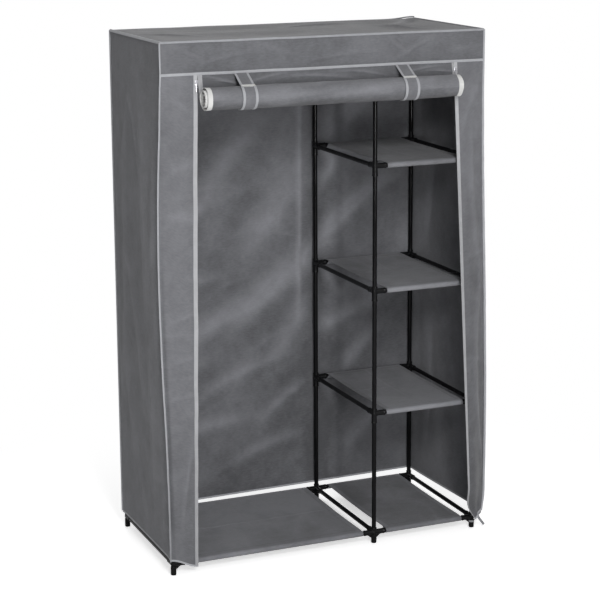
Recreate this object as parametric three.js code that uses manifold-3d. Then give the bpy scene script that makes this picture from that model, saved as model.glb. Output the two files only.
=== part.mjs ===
import * as THREE from "three";
import { mergeVertices } from "three/addons/utils/BufferGeometryUtils.js";
import Module from "manifold-3d";

// Portable fabric wardrobe: a plug-together frame of steel tubes and moulded connectors under a sewn cloth
// cover, with a hanging bay on the left, three cloth shelves on the right and a front door that rolls up.
// Millimetres, +Z up, the open front faces -Y. While it is built, X and Y count from the front left post.

const wasm = await Module();
wasm.setup();

// Frame
const post_span = 1095; // left posts to right posts
const hanging_bay = 720; // left posts to middle posts
const frame_depth = 490; // front posts to back posts
const level_pitch = 420; // from one level of connectors to the next
const base_z = 38; // axis of the lowest tubes above the floor
const level_count = 4; // levels above the base
const brace_level = 2; // level at which the left end has its joint and brace

// Tubes and moulded connectors
const tube_d = 15;
const tube_wall = 0.5;
const tube_sides = 10;
const fit_gap = 0.3; // all round a tube in its socket, and between pieces that touch
const socket_wall = 1.3;
const arm_length = 38; // post axis to the mouth of a horizontal socket
const arm_stop = 12; // post axis to the end of the tube in that socket
const socket_rise = 16; // above the arm axis
const socket_drop = 34; // below the arm axis
const foot_d = 17;
const gusset_reach = 24;
const gusset_drop = 11;
const gusset_thick = 5;
const rail_socket_half = 15;
const overrun = 2; // how far a cutter runs past what it cuts

// Cloth
const cloth_t = 1;
const sleeve_gap = 0.4; // sleeve round its tube
const sleeve_inset = 43; // post axis to the end of a shelf
const shelf_sag = 4;
const sag_steps = 6;
const cover_clear = 4; // cover to the faces of the tubes
const valance_height = 100;
const hem_left_z = 43;
const hem_right_z = 62;
const hem_back_z = 52;
const hem_back_rise = 12; // the back hem is higher at its right end
const top_sag = 6;
const left_billow = 20; // how far the left panel stands out at its front edge
const right_billow = 27; // how far the right panel stands out, low down at its front edge
const side_fold = 5;
const back_fold = 7;
const valance_wave = 3;

// Front flaps
const left_flap_width = 117; // post corner to the zip edge, at the top
const left_flap_drift = 24; // the edge is this much nearer the post at the end of the zip
const left_flap_dip = 22; // the free lower corner hangs below the side hem
const right_flap_width = 108;
const right_flap_swing = 64; // how far the free edge hangs forward at the end of the zip
const right_flap_drift = 40; // and how far it has moved towards the post there
const right_flap_tuck = 17; // extra drift below the end of the zip
const right_flap_dip = 20;
const flap_start = 2; // the loose edge starts this far in front of the door
const zip_band = 14;
const zip_top = 27; // slider centre below the valance
const left_zip_end_z = 62;
const right_zip_end_z = 180; // its tape bends away below

// Door
const roll_r = 38;
const roll_pitch = 2.6;
const roll_steps = 16; // steps in one turn of the roll
const roll_back = 10; // door sheet to the back of the roll
const roll_below = 34; // valance edge to the top of the roll
const door_hem_z = 45; // where the hem of the closed door hangs

// Roll straps
const strap_width = 50;
const left_strap_x = 250; // centre of each strap from the left posts
const right_strap_x = 808;
const strap_t = 1.2;
const strap_gap = 0.6; // strap to what it holds
const strap_steps = 14;

// Zip sliders and pulls
const slider_width = 10;
const slider_height = 20;
const slider_edge = 4; // slider centre from the edge of the flap
const slider_plate = 1;
const slider_front = 3.2;
const slider_slot = 0.8; // slot to each face of the tape
const slider_neck = 1.2;
const neck_gap = 0.8; // neck to the edge of the tape
const pull_width = 5;
const pull_length = 26;
const pull_thick = 1.6;
const pin_d = 1.6;
const eye_gap = 0.4; // pull eye round the pin, and to the slider
const eye_wall = 1;
const lug_thick = 1;
const roll_end_gap = 1.5; // roll to the pull beside it
const pin_sides = 8;

// Corner tie
const tie_width = 7;
const tie_t = 1.2;
const tie_out = 4; // ribbon to the inner face of the cover
const tie_knot_z = 46;
const tie_loop_z = 9; // lower edge of the loop round the foot

// Sizes that follow from those above
const tube_r = tube_d / 2;
const bore_r = tube_r + fit_gap;
const socket_r = bore_r + socket_wall;
const top_z = base_z + level_count * level_pitch;
const post_x = [0, hanging_bay, post_span];
const side_names = ["left", "middle", "right"];
const rows = [
  { name: "front", y: 0, inward: 1 },
  { name: "back", y: frame_depth, inward: -1 },
];
const skin = tube_r + cover_clear; // post axis to the inner face of the cover
const front_y = -skin;
const back_y = frame_depth + skin;
const left_x = -skin;
const right_x = post_span + skin;
const cover_z = top_z + socket_r + fit_gap;
const valance_z = cover_z - valance_height;
const flap_top_z = valance_z - fit_gap;
const zip_z = valance_z - zip_top;
const left_edge_x = left_x + left_flap_width;
const right_edge_x = right_x - right_flap_width;
const left_slider_x = left_edge_x - slider_edge;
const right_slider_x = right_edge_x + slider_edge;
const roll_z = valance_z - roll_below - roll_r;
const sheet_y = front_y - cloth_t; // front face of the door sheet
const roll_y = sheet_y - roll_back - roll_r;
const roll_left_x = left_slider_x + pull_width / 2 + roll_end_gap;
const roll_right_x = right_slider_x - pull_width / 2 - roll_end_gap;

const looks = {
  tube: { color: 0x17181a, roughness: 0.35, metalness: 0.6 },
  connector: { color: 0x101012, roughness: 0.3, metalness: 0 },
  cloth: { color: 0x6a6d72, roughness: 0.95, metalness: 0 },
  binding: { color: 0xa9adb3, roughness: 0.9, metalness: 0 },
  metal: { color: 0xb9bcc0, roughness: 0.3, metalness: 0.9 },
};
const materials = Object.fromEntries(
  Object.entries(looks).map(([name, look]) => [name, new THREE.MeshStandardMaterial(look)]),
);
const wardrobe = new THREE.Group();
const at = (x, y, z) => new THREE.Vector3(x, y, z);
const mix = THREE.MathUtils.lerp;
const ease = (t) => THREE.MathUtils.smoothstep(t, 0, 1);
const hump = (t) => Math.sin(Math.PI * THREE.MathUtils.clamp(t, 0, 1)) ** 2;

// Welds a geometry's shared vertices, drops triangles that have collapsed and turns its faces outwards.
function welded(geometry) {
  const bare = new THREE.BufferGeometry().setAttribute("position", geometry.getAttribute("position"));
  bare.setIndex(geometry.index);
  const whole = mergeVertices(bare, fit_gap / 1000);
  const { array } = whole.index;
  const corner = [0, 1, 2].map(() => new THREE.Vector3());
  const kept = [];
  let volume = 0;
  for (let i = 0; i < array.length; i += 3) {
    const [a, b, c] = [array[i], array[i + 1], array[i + 2]];
    if (a === b || b === c || c === a) continue;
    kept.push([a, b, c]);
    corner.forEach((v, k) => v.fromBufferAttribute(whole.attributes.position, array[i + k]));
    volume += corner[0].dot(corner[1].clone().cross(corner[2]));
  }
  whole.setIndex(kept.flatMap(([a, b, c]) => (volume < 0 ? [a, c, b] : [a, b, c])));
  return whole;
}

function solid(geometry) {
  const { index, attributes } = welded(geometry);
  const vertProperties = new Float32Array(attributes.position.array);
  return new wasm.Manifold(new wasm.Mesh({ numProp: 3, vertProperties, triVerts: new Uint32Array(index.array) }));
}

// Joins the first list of geometries and cuts the second list away.
function joined(pieces, cutters = []) {
  let body = pieces.map(solid).reduce((all, piece) => all.add(piece));
  for (const cutter of cutters) body = body.subtract(solid(cutter));
  const { vertProperties, triVerts } = body.getMesh();
  const geometry = new THREE.BufferGeometry();
  geometry.setAttribute("position", new THREE.BufferAttribute(vertProperties, 3));
  return geometry.setIndex(new THREE.BufferAttribute(triVerts, 1));
}

function add(name, look, geometry) {
  const mesh = new THREE.Mesh(welded(geometry), materials[look]);
  mesh.name = name;
  wardrobe.add(mesh);
}

// A round bar between two points, hollow where it has a bore.
function bar(radius, from, to, bore = 0, sides = tube_sides) {
  const length = from.distanceTo(to);
  const ring = [[radius, 0], [radius, length]];
  const profile = bore > 0 ? [[bore, 0], ...ring, [bore, length], [bore, 0]] : [[0, 0], ...ring, [0, length]];
  const lathe = new THREE.LatheGeometry(profile.map(([r, h]) => new THREE.Vector2(r, h)), sides);
  const along = to.clone().sub(from).normalize();
  lathe.applyQuaternion(new THREE.Quaternion().setFromUnitVectors(at(0, 1, 0), along));
  return lathe.translate(from.x, from.y, from.z);
}

const tube = (from, to) => bar(tube_r, from, to, tube_r - tube_wall);

function block(x, y, z, width, depth, height) {
  return new THREE.BoxGeometry(width, depth, height).translate(x, y, z);
}

// A cloth between two faces, each given as a point for shares u and v of its width and height.
function cloth(columns, rows_up, inner, outer) {
  const points = [];
  const faces = [];
  for (const face of [inner, outer])
    for (let j = 0; j <= rows_up; j++)
      for (let i = 0; i <= columns; i++) points.push(...face(i / columns, j / rows_up).toArray());
  const side = (columns + 1) * (rows_up + 1);
  const spot = (i, j, layer) => layer * side + j * (columns + 1) + i;
  const quad = (a, b, c, d) => faces.push(a, b, c, a, c, d);
  for (let j = 0; j < rows_up; j++)
    for (let i = 0; i < columns; i++) {
      quad(spot(i, j, 0), spot(i, j + 1, 0), spot(i + 1, j + 1, 0), spot(i + 1, j, 0));
      quad(spot(i, j, 1), spot(i + 1, j, 1), spot(i + 1, j + 1, 1), spot(i, j + 1, 1));
    }
  for (let i = 0; i < columns; i++) {
    quad(spot(i, 0, 0), spot(i + 1, 0, 0), spot(i + 1, 0, 1), spot(i, 0, 1));
    quad(spot(i, rows_up, 1), spot(i + 1, rows_up, 1), spot(i + 1, rows_up, 0), spot(i, rows_up, 0));
  }
  for (let j = 0; j < rows_up; j++) {
    quad(spot(0, j, 1), spot(0, j + 1, 1), spot(0, j + 1, 0), spot(0, j, 0));
    quad(spot(columns, j, 0), spot(columns, j + 1, 0), spot(columns, j + 1, 1), spot(columns, j, 1));
  }
  const geometry = new THREE.BufferGeometry();
  geometry.setAttribute("position", new THREE.Float32BufferAttribute(points, 3));
  return geometry.setIndex(faces);
}

// A cloth whose outer face is its inner face moved by one thickness.
function panel(columns, rows_up, inner, outward) {
  const step = outward.clone().multiplyScalar(cloth_t);
  return cloth(columns, rows_up, inner, (u, v) => inner(u, v).add(step));
}

// The sockets of one connector, and the bores that open them. An arm is a direction along X or Y.
function connector(x, y, z, arms, low, high, bore_low, bore_high) {
  const reach = (arm, length) => at(x, y, z).addScaledVector(arm, length);
  return {
    pieces: [
      bar(socket_r, at(x, y, low), at(x, y, high)),
      ...arms.map((arm) => bar(socket_r, at(x, y, z), reach(arm, arm_length))),
    ],
    cutters: [
      bar(bore_r, at(x, y, bore_low), at(x, y, bore_high)),
      ...arms.map((arm) => bar(bore_r, at(x, y, z), reach(arm, arm_length + overrun))),
    ],
  };
}

// Horizontal arms at a post: towards its neighbours along X, or none of them.
const arms_along_x = (k) => [
  ...(k > 0 ? [at(-1, 0, 0)] : []),
  ...(k < post_x.length - 1 ? [at(1, 0, 0)] : []),
];

// A rib under an arm, from the arm down to the foot.
function gusset(x, y, arm) {
  const shape = new THREE.Shape([
    new THREE.Vector2(0, -tube_r),
    new THREE.Vector2(gusset_reach, -tube_r),
    new THREE.Vector2(foot_d / 2, -socket_r - gusset_drop),
    new THREE.Vector2(0, -socket_r - gusset_drop),
  ]);
  const plate = new THREE.ExtrudeGeometry(shape, { depth: gusset_thick, bevelEnabled: false });
  plate.translate(0, 0, -gusset_thick / 2);
  plate.applyMatrix4(new THREE.Matrix4().makeBasis(arm, at(0, 0, 1), arm.clone().cross(at(0, 0, 1))));
  return plate.translate(x, y, base_z);
}

// Posts and the connectors that they stand in
const post_low_z = base_z - socket_r + fit_gap;
const post_high_z = top_z - socket_r - fit_gap;
post_x.forEach((x, k) => {
  for (const { name, y, inward } of rows) {
    add(`post_${name}_${side_names[k]}`, "tube", tube(at(x, y, post_low_z), at(x, y, post_high_z)));
    const arms = [...arms_along_x(k), at(0, inward, 0)];
    const seat_z = base_z - socket_r;
    const { pieces, cutters } = connector(
      x, y, base_z, arms, seat_z, base_z + socket_rise, seat_z, base_z + socket_rise + overrun,
    );
    const foot = bar(foot_d / 2, at(x, y, 0), at(x, y, seat_z));
    const ribs = arms.map((arm) => gusset(x, y, arm));
    add(`foot_connector_${name}_${side_names[k]}`, "connector", joined([...pieces, foot, ...ribs], cutters));
  }
  const [front, back] = rows.map(({ y, inward }) => at(x, y + inward * arm_stop, base_z));
  add(`base_tube_side_${side_names[k]}`, "tube", tube(front, back));
});

// A depth tube fused with the connector at each end. Its inside opens into the bores of those.
function bracket(x, z, arms, low, high, bore_low, bore_high, sockets = []) {
  const ends = rows.map(({ y }) => connector(x, y, z, arms, low, high, bore_low, bore_high));
  const axis = [at(x, 0, z), at(x, frame_depth, z)];
  const sleeves = rows.map(({ y, inward }) => bar(socket_r, at(x, y, z), at(x, y + inward * arm_length, z)));
  return joined(
    [...ends.flatMap((end) => end.pieces), ...sleeves, bar(tube_r, ...axis), ...sockets.flatMap((s) => s.pieces)],
    [...ends.flatMap((end) => end.cutters), bar(tube_r - tube_wall, ...axis), ...sockets.flatMap((s) => s.cutters)],
  );
}

const level_names = ["low", "mid", "high"];
const shelf_levels = level_names.map((name, k) => ({ name, z: base_z + (k + 1) * level_pitch }));
const shelf_posts = [
  { name: "middle", x: hanging_bay, arm: at(1, 0, 0) },
  { name: "right", x: post_span, arm: at(-1, 0, 0) },
];
for (const { name, z } of shelf_levels)
  for (const post of shelf_posts) {
    const ends = [z - socket_drop, z + socket_rise, z - socket_drop - overrun, z + socket_rise + overrun];
    add(`shelf_bracket_${name}_${post.name}`, "connector", bracket(post.x, z, [post.arm], ...ends));
  }
const brace_z = base_z + brace_level * level_pitch;
add(
  "side_brace_left",
  "connector",
  bracket(
    0, brace_z, [], brace_z - socket_drop, brace_z + socket_rise,
    brace_z - socket_drop - overrun, brace_z + socket_rise + overrun,
  ),
);

// Top brackets. The left and middle ones also hold the ends of the hanging rail.
const rail_y = frame_depth / 2;
post_x.forEach((x, k) => {
  const inward = [1, -1, 0][k];
  const arm = at(inward, 0, 0);
  const tip = (length) => at(x, rail_y, top_z).addScaledVector(arm, length);
  const socket = {
    pieces: [
      bar(socket_r, at(x, rail_y - rail_socket_half, top_z), at(x, rail_y + rail_socket_half, top_z)),
      bar(socket_r, tip(0), tip(arm_length)),
    ],
    cutters: [bar(bore_r, tip(arm_stop), tip(arm_length + overrun))],
  };
  const ends = [top_z - socket_drop, top_z, top_z - socket_drop - overrun, top_z - socket_r];
  const sockets = inward === 0 ? [] : [socket];
  add(`top_bracket_${side_names[k]}`, "connector", bracket(x, top_z, arms_along_x(k), ...ends, sockets));
});

// Tubes along the width
const run = (x0, x1, y, z) => tube(at(x0 + arm_stop + fit_gap, y, z), at(x1 - arm_stop - fit_gap, y, z));
for (const { name, y } of rows) {
  add(`base_tube_${name}_left`, "tube", run(0, hanging_bay, y, base_z));
  add(`base_tube_${name}_right`, "tube", run(hanging_bay, post_span, y, base_z));
  add(`top_tube_${name}`, "tube", run(0, post_span, y, top_z));
  for (const level of shelf_levels)
    add(`shelf_tube_${name}_${level.name}`, "tube", run(hanging_bay, post_span, y, level.z));
}
add("hanging_rail", "tube", run(0, hanging_bay, rail_y, top_z));

// A shelf: one cloth with a sleeve over the tube at its front and back, sagging in between.
function shelf(x0, x1, z) {
  const outer = tube_r + sleeve_gap + cloth_t;
  const leave = Math.asin((outer - cloth_t) / outer);
  const points = [];
  const turn = (y, from, to) => {
    for (let k = 0; k <= tube_sides; k++) {
      const a = mix(from, to, k / tube_sides);
      points.push(new THREE.Vector2(y + outer * Math.cos(a), outer * Math.sin(a)));
    }
  };
  const web = (from, to, height) => {
    for (let k = 1; k < sag_steps; k++) {
      const t = k / sag_steps;
      points.push(new THREE.Vector2(mix(from, to, t), height - shelf_sag * hump(t)));
    }
  };
  web(0, frame_depth, outer);
  turn(frame_depth, Math.PI / 2, leave - Math.PI);
  web(frame_depth, 0, outer - cloth_t);
  turn(0, leave, -1.5 * Math.PI);
  const shape = new THREE.Shape(points);
  for (const { y } of rows) {
    const hole = new THREE.Path();
    hole.absarc(y, 0, tube_r + sleeve_gap, 0, 2 * Math.PI);
    shape.holes.push(hole);
  }
  const depth = x1 - x0 - 2 * sleeve_inset;
  const body = new THREE.ExtrudeGeometry(shape, { depth, bevelEnabled: false, curveSegments: tube_sides / 2 });
  body.applyMatrix4(new THREE.Matrix4().makeBasis(at(0, 1, 0), at(0, 0, 1), at(1, 0, 0)));
  return body.translate(x0 + sleeve_inset, 0, z);
}
add("floor_shelf_left", "cloth", shelf(0, hanging_bay, base_z));
add("floor_shelf_right", "cloth", shelf(hanging_bay, post_span, base_z));
for (const { name, z } of shelf_levels) add(`shelf_${name}`, "cloth", shelf(hanging_bay, post_span, z));

// How far each front corner seam stands out from straight, at a share t of the way down.
const left_seam = (t) => left_billow * hump(0.08 + 0.95 * t ** 0.85);
const right_seam = (t) => right_billow * ease(1.25 * t) * (1 - 0.35 * ease(12 * (t - 0.95)));
const down_share = (z) => THREE.MathUtils.clamp((valance_z - z) / (valance_z - hem_left_z), 0, 1);
const left_seam_x = (z) => left_x - left_seam(down_share(z));
const right_seam_x = (z) => right_x + right_seam(down_share(z));

// Side panels: full at the front seam, flat at the back, with long soft folds.
const fold_shares = { left: [1.5, 0.9], right: [2, 0.4] };
function side_panel(side, seam_x, flat_x, hem_z) {
  const outward = at(side, 0, 0);
  const [folds, lean] = side < 0 ? fold_shares.left : fold_shares.right;
  const inner = (u, v) => {
    const z = mix(hem_z, cover_z - fit_gap, v);
    const stand = (seam_x(z) - flat_x) * (1 - ease(u));
    const fold = side_fold * hump(u) * hump(v) * Math.sin(Math.PI * (folds * u + lean * v)) ** 2;
    return at(flat_x + stand + side * fold, mix(front_y + fit_gap, back_y - fit_gap, u), z);
  };
  return panel(8, 22, inner, outward);
}
add("cover_left", "cloth", side_panel(-1, left_seam_x, left_x, hem_left_z));
add("cover_right", "cloth", side_panel(1, right_seam_x, right_x, hem_right_z));

// Back panel, with slanting folds that stand out behind the frame
add(
  "cover_back",
  "cloth",
  panel(
    16,
    18,
    (u, v) => {
      const z = mix(hem_back_z + hem_back_rise * u, cover_z - fit_gap, v);
      const slant = Math.sin(Math.PI * (3 * u + 1.6 * v)) ** 2;
      return at(mix(left_x - cloth_t, right_x + cloth_t, u), back_y + back_fold * slant * hump(u) * hump(v), z);
    },
    at(0, 1, 0),
  ),
);

// Top sheet, sagging between the tubes and the rail under it
add(
  "cover_top",
  "cloth",
  panel(
    18,
    12,
    (u, v) => {
      const x = mix(left_x - cloth_t, right_x + cloth_t, u);
      const bay = x < hanging_bay ? x / hanging_bay : (x - hanging_bay) / (post_span - hanging_bay);
      const y = mix(front_y - cloth_t, back_y + cloth_t, v);
      return at(x, y, cover_z - top_sag * hump(bay) * hump((2 * y) / frame_depth - Math.floor((2 * y) / frame_depth)));
    },
    at(0, 0, 1),
  ),
);

// Valance: the band of cloth above the door
const front_out = at(0, -1, 0);
add(
  "cover_valance",
  "cloth",
  panel(
    24,
    4,
    (u, v) => {
      const wave = valance_wave * hump(v) * Math.sin(Math.PI * 4 * u) ** 2;
      return at(mix(left_x - cloth_t, right_x + cloth_t, u), front_y - wave, mix(valance_z, cover_z - fit_gap, v));
    },
    front_out,
  ),
);

// Both flaps hang from the valance. Their free edges carry the zip, on a band that lies flat. The line of each
// zip is straight from its slider to its end, and each function says how far down that line a height is.
const left_zip_share = (z) => (zip_z - z) / (zip_z - left_zip_end_z);
const right_zip_share = (z) => (zip_z - z) / (zip_z - right_zip_end_z);
const left_zip_x = (z) => left_edge_x - left_flap_drift * left_zip_share(z);
const right_zip_x = (z) => {
  const below = Math.max(0, (right_zip_end_z - z) / (right_zip_end_z - hem_left_z));
  return right_edge_x + right_flap_drift * right_zip_share(z) + right_flap_tuck * below ** 2;
};
const right_zip_y = (z) => front_y - flap_start - right_flap_swing * right_zip_share(z);

// Rows of a flap: its hem slopes, so each row is a share of the height at that column.
function flap(columns, rows_up, seam_x, zip_x, zip_y, hem_z, dip) {
  const inner = (u, v) => {
    const z = mix(hem_z - dip * ease(u), flap_top_z, v);
    const width = Math.abs(zip_x(z) - seam_x(z));
    const flat = THREE.MathUtils.clamp(u / (1 - zip_band / width), 0, 1);
    return at(mix(seam_x(z), zip_x(z), u), mix(front_y, zip_y(z), ease(flat)), z);
  };
  return panel(columns, rows_up, inner, front_out);
}
add(
  "flap_left",
  "cloth",
  flap(7, 20, (z) => left_seam_x(z) - cloth_t, left_zip_x, () => front_y, hem_left_z + fit_gap, left_flap_dip),
);
add(
  "flap_right",
  "cloth",
  flap(8, 24, (z) => right_seam_x(z) + cloth_t, right_zip_x, right_zip_y, hem_right_z, right_flap_dip),
);

// The part of the door that shows above the roll
const sheet_left_x = left_slider_x + slider_width / 2 + slider_neck;
const sheet_right_x = right_slider_x - slider_width / 2 - slider_neck;
add(
  "door_sheet",
  "cloth",
  panel(
    8,
    3,
    (u, v) => {
      const y = mix(sheet_y - roll_back, sheet_y, ease(v));
      return at(mix(sheet_left_x, sheet_right_x, u), y + cloth_t, mix(roll_z + fit_gap, flap_top_z, v));
    },
    front_out,
  ),
);

// The rest of the door, rolled outwards in one spiral from the back of the roll down and round to its middle
const rolled_length = roll_z - door_hem_z;
const core_r = Math.sqrt(roll_r ** 2 - (rolled_length * roll_pitch) / Math.PI);
const roll_turns = (roll_r - core_r) / roll_pitch;
function on_roll(turn, x, depth) {
  const radius = roll_r - depth - roll_pitch * turn;
  const angle = -2 * Math.PI * turn;
  return at(x, roll_y + radius * Math.cos(angle), roll_z + radius * Math.sin(angle));
}
const roll_columns = Math.round(roll_turns * roll_steps);
const roll_x = (v) => mix(roll_left_x, roll_right_x, v);
add(
  "door_roll",
  "cloth",
  cloth(
    roll_columns,
    1,
    (u, v) => on_roll(u * roll_turns, roll_x(v), cloth_t),
    (u, v) => on_roll(u * roll_turns, roll_x(v), 0),
  ),
);
let roll_gap = roll_pitch;
for (let k = roll_steps; k <= roll_columns; k++) {
  const turn = (k / roll_columns) * roll_turns;
  roll_gap = Math.min(roll_gap, on_roll(turn, 0, 0).distanceTo(on_roll(turn - 1, 0, cloth_t)));
}
console.log(`door roll: ${roll_turns.toFixed(2)} turns, least gap ${roll_gap.toFixed(2)} mm`);

// Roll straps: each hangs behind the door sheet, passes under the roll and comes up its front to the valance.
function strap(x) {
  const hold_r = roll_r + strap_gap;
  const back = front_y + strap_gap;
  const head = [at(0, sheet_y - strap_gap, valance_z - strap_gap - strap_t)];
  const tail = [at(0, back, flap_top_z), at(0, back, roll_z)];
  const wrap = (out) => {
    const around = [];
    for (let k = 0; k <= strap_steps; k++) {
      const angle = mix(Math.PI * 0.62, Math.PI * 1.8, k / strap_steps);
      around.push(at(0, roll_y + (hold_r + out) * Math.cos(angle), roll_z + (hold_r + out) * Math.sin(angle)));
    }
    const rise = head.map((p) => p.clone().add(at(0, 0, out)));
    const behind = tail.map((p) => p.clone().add(at(0, out, 0))).reverse();
    return [...rise, ...around, ...behind];
  };
  const [inside, outside] = [wrap(0), wrap(strap_t)];
  const shape = new THREE.Shape([...inside, ...outside.reverse()].map((p) => new THREE.Vector2(p.y, p.z)));
  const band = new THREE.ExtrudeGeometry(shape, { depth: strap_width, bevelEnabled: false });
  band.applyMatrix4(new THREE.Matrix4().makeBasis(at(0, 1, 0), at(0, 0, 1), at(1, 0, 0)));
  return band.translate(x - strap_width / 2, 0, 0);
}
add("roll_strap_left", "cloth", strap(left_strap_x));
add("roll_strap_right", "cloth", strap(right_strap_x));

// A zip slider: two plates on a neck that runs past the edge of the tape, with lugs and a pin for its pull.
const eye_r = pin_d / 2 + eye_gap + eye_wall;
function slider(x, tape_y, edge_side) {
  const tape_back = tape_y + slider_slot;
  const tape_front = tape_y - cloth_t - slider_slot;
  const neck_x = x + edge_side * (slider_edge + neck_gap + slider_neck / 2);
  const pin_y = tape_front - slider_front - eye_gap - eye_r;
  const half = pull_width / 2 + eye_gap + lug_thick;
  const depth = tape_back + slider_plate - (tape_front - slider_front);
  const lug = (side) =>
    block(
      x + side * (half - lug_thick / 2), (pin_y - pin_d + tape_front - slider_front / 2) / 2, zip_z,
      lug_thick, tape_front - slider_front / 2 - pin_y + pin_d, pin_d * 2,
    );
  return joined([
    block(x, tape_back + slider_plate / 2, zip_z, slider_width, slider_plate, slider_height),
    block(x, tape_front - slider_front / 2, zip_z, slider_width, slider_front, slider_height),
    block(neck_x, tape_back + slider_plate - depth / 2, zip_z, slider_neck, depth, slider_height),
    lug(-1),
    lug(1),
    bar(pin_d / 2, at(x - half, pin_y, zip_z), at(x + half, pin_y, zip_z), 0, pin_sides),
  ]);
}

// The pull hangs from the pin by its eye.
const pin_place = (tape_y) => tape_y - cloth_t - slider_slot - slider_front - eye_gap - eye_r;
function pull(x, tape_y) {
  const y = pin_place(tape_y);
  const [from, to] = [-1, 1].map((side) => at(x + (side * pull_width) / 2, y, zip_z));
  const blade = pull_length - eye_r / 2;
  return joined(
    [
      bar(eye_r, from, to, 0, pin_sides),
      block(x, y, zip_z - eye_r / 2 - blade / 2, pull_width, pull_thick, blade),
    ],
    [bar(pin_d / 2 + eye_gap, from.addScaledVector(at(-1, 0, 0), overrun), to.addScaledVector(at(1, 0, 0), overrun), 0, pin_sides)],
  );
}
add("zip_slider_left", "metal", slider(left_slider_x, front_y, 1));
add("zip_slider_right", "metal", slider(right_slider_x, right_zip_y(zip_z), -1));
add("zip_pull_left", "metal", pull(left_slider_x, front_y));
add("zip_pull_right", "metal", pull(right_slider_x, right_zip_y(zip_z)));

// Corner tie: a ribbon from the right corner seam, knotted under it, looped round the foot, with a free tail
function ribbon(from, to, lean) {
  const along = to.clone().sub(from);
  const facing = new THREE.Matrix4().lookAt(from, to, lean);
  const strip = new THREE.BoxGeometry(tie_width, tie_t, along.length());
  return strip.applyMatrix4(facing).translate(...from.clone().addScaledVector(along, 0.5).toArray());
}
const tie_y = front_y - tie_out;
const seam_spot = at(right_seam_x(hem_right_z) - tie_width / 2, tie_y, hem_right_z - tie_width / 2);
const knot_spot = at(mix(post_span, seam_spot.x, 0.7), tie_y, tie_knot_z);
const loop_spot = at(post_span + foot_d / 2, -foot_d / 2, tie_loop_z + tie_width / 2);
const tail_spot = at(seam_spot.x + tie_width, tie_y - tie_width, tie_loop_z);
const loop_r = foot_d / 2 + fit_gap;
add(
  "corner_tie",
  "binding",
  joined(
    [
      ribbon(seam_spot, knot_spot, at(0, 1, 0)),
      ribbon(knot_spot, loop_spot, at(0, 1, 0)),
      ribbon(knot_spot, tail_spot, at(0, 1, 0)),
      new THREE.SphereGeometry(tie_width * 0.7, 8, 6).translate(...knot_spot.toArray()),
      bar(loop_r + tie_t, at(post_span, 0, tie_loop_z), at(post_span, 0, tie_loop_z + tie_width)),
    ],
    [bar(loop_r, at(post_span, 0, tie_loop_z - overrun), at(post_span, 0, tie_loop_z + tie_width + overrun))],
  ),
);

// The finished wardrobe stands on the floor, centred under its own box.
const extent = new THREE.Box3().setFromObject(wardrobe);
const middle = extent.getCenter(new THREE.Vector3());
wardrobe.position.set(-middle.x, -middle.y, -extent.min.z);

export default wardrobe;
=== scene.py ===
import math

import bmesh
import bpy
import numpy as np
from mathutils import Matrix, Vector


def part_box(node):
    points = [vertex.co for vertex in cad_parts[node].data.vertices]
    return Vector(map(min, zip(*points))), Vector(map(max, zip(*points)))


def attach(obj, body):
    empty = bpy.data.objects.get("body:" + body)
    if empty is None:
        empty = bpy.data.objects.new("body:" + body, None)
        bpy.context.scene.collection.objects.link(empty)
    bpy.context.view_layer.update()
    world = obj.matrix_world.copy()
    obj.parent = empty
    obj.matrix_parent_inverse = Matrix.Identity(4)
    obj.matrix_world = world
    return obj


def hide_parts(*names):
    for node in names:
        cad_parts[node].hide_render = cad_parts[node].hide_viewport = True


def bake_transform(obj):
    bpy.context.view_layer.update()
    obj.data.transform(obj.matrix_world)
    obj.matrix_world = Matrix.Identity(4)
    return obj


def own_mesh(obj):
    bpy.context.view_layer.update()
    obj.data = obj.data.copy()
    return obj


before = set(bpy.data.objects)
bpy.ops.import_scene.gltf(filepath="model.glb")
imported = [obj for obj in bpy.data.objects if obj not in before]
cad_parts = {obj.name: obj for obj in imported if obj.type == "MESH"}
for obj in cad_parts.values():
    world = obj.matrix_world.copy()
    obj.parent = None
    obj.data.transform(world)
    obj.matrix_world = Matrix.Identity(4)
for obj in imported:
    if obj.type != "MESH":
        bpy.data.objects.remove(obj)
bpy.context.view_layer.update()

bl_info = {
    "name": "Portable Fabric Wardrobe",
    "version": (1, 0, 0),
    "blender": (4, 5, 0),
    "location": "3D View > Sidebar > Wardrobe",
    "description": "Builds a tube-framed cloth wardrobe with its door rolled up, over the packed frame",
    "category": "Add Mesh",
}

# Places taken from the frame, in metres
SIDES = ("left", "middle", "right")
LEVELS = ("low", "mid", "high")


def middle_of(node):
    """The middle of a node's box."""
    low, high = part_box(node)
    return (low + high) / 2


POST_X = {side: middle_of(f"post_front_{side}").x for side in SIDES}
ROW_Y = {row: middle_of(f"post_{row}_left").y for row in ("front", "back")}
BASE_Z = middle_of("base_tube_side_left").z
TOP_Z = middle_of("top_tube_front").z
LEVEL_Z = {name: middle_of(f"shelf_tube_front_{name}").z for name in LEVELS}
TUBE_LOW, TUBE_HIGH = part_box("base_tube_side_left")
TUBE_R = (TUBE_HIGH.z - TUBE_LOW.z) / 2
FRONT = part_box("flap_left")[1].y
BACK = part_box("cover_back")[0].y
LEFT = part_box("cover_back")[0].x
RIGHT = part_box("cover_back")[1].x
COVER_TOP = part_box("cover_top")[1].z
COVER_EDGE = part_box("cover_valance")[1].z
VALANCE_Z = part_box("cover_valance")[0].z
HEM_LEFT_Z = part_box("cover_left")[0].z
HEM_RIGHT_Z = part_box("cover_right")[0].z
HEM_BACK_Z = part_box("cover_back")[0].z
ROLL_LOW, ROLL_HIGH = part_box("door_roll")
SHEET_LOW, SHEET_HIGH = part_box("door_sheet")
ZIP_TOP_Z = middle_of("zip_slider_left").z

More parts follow.
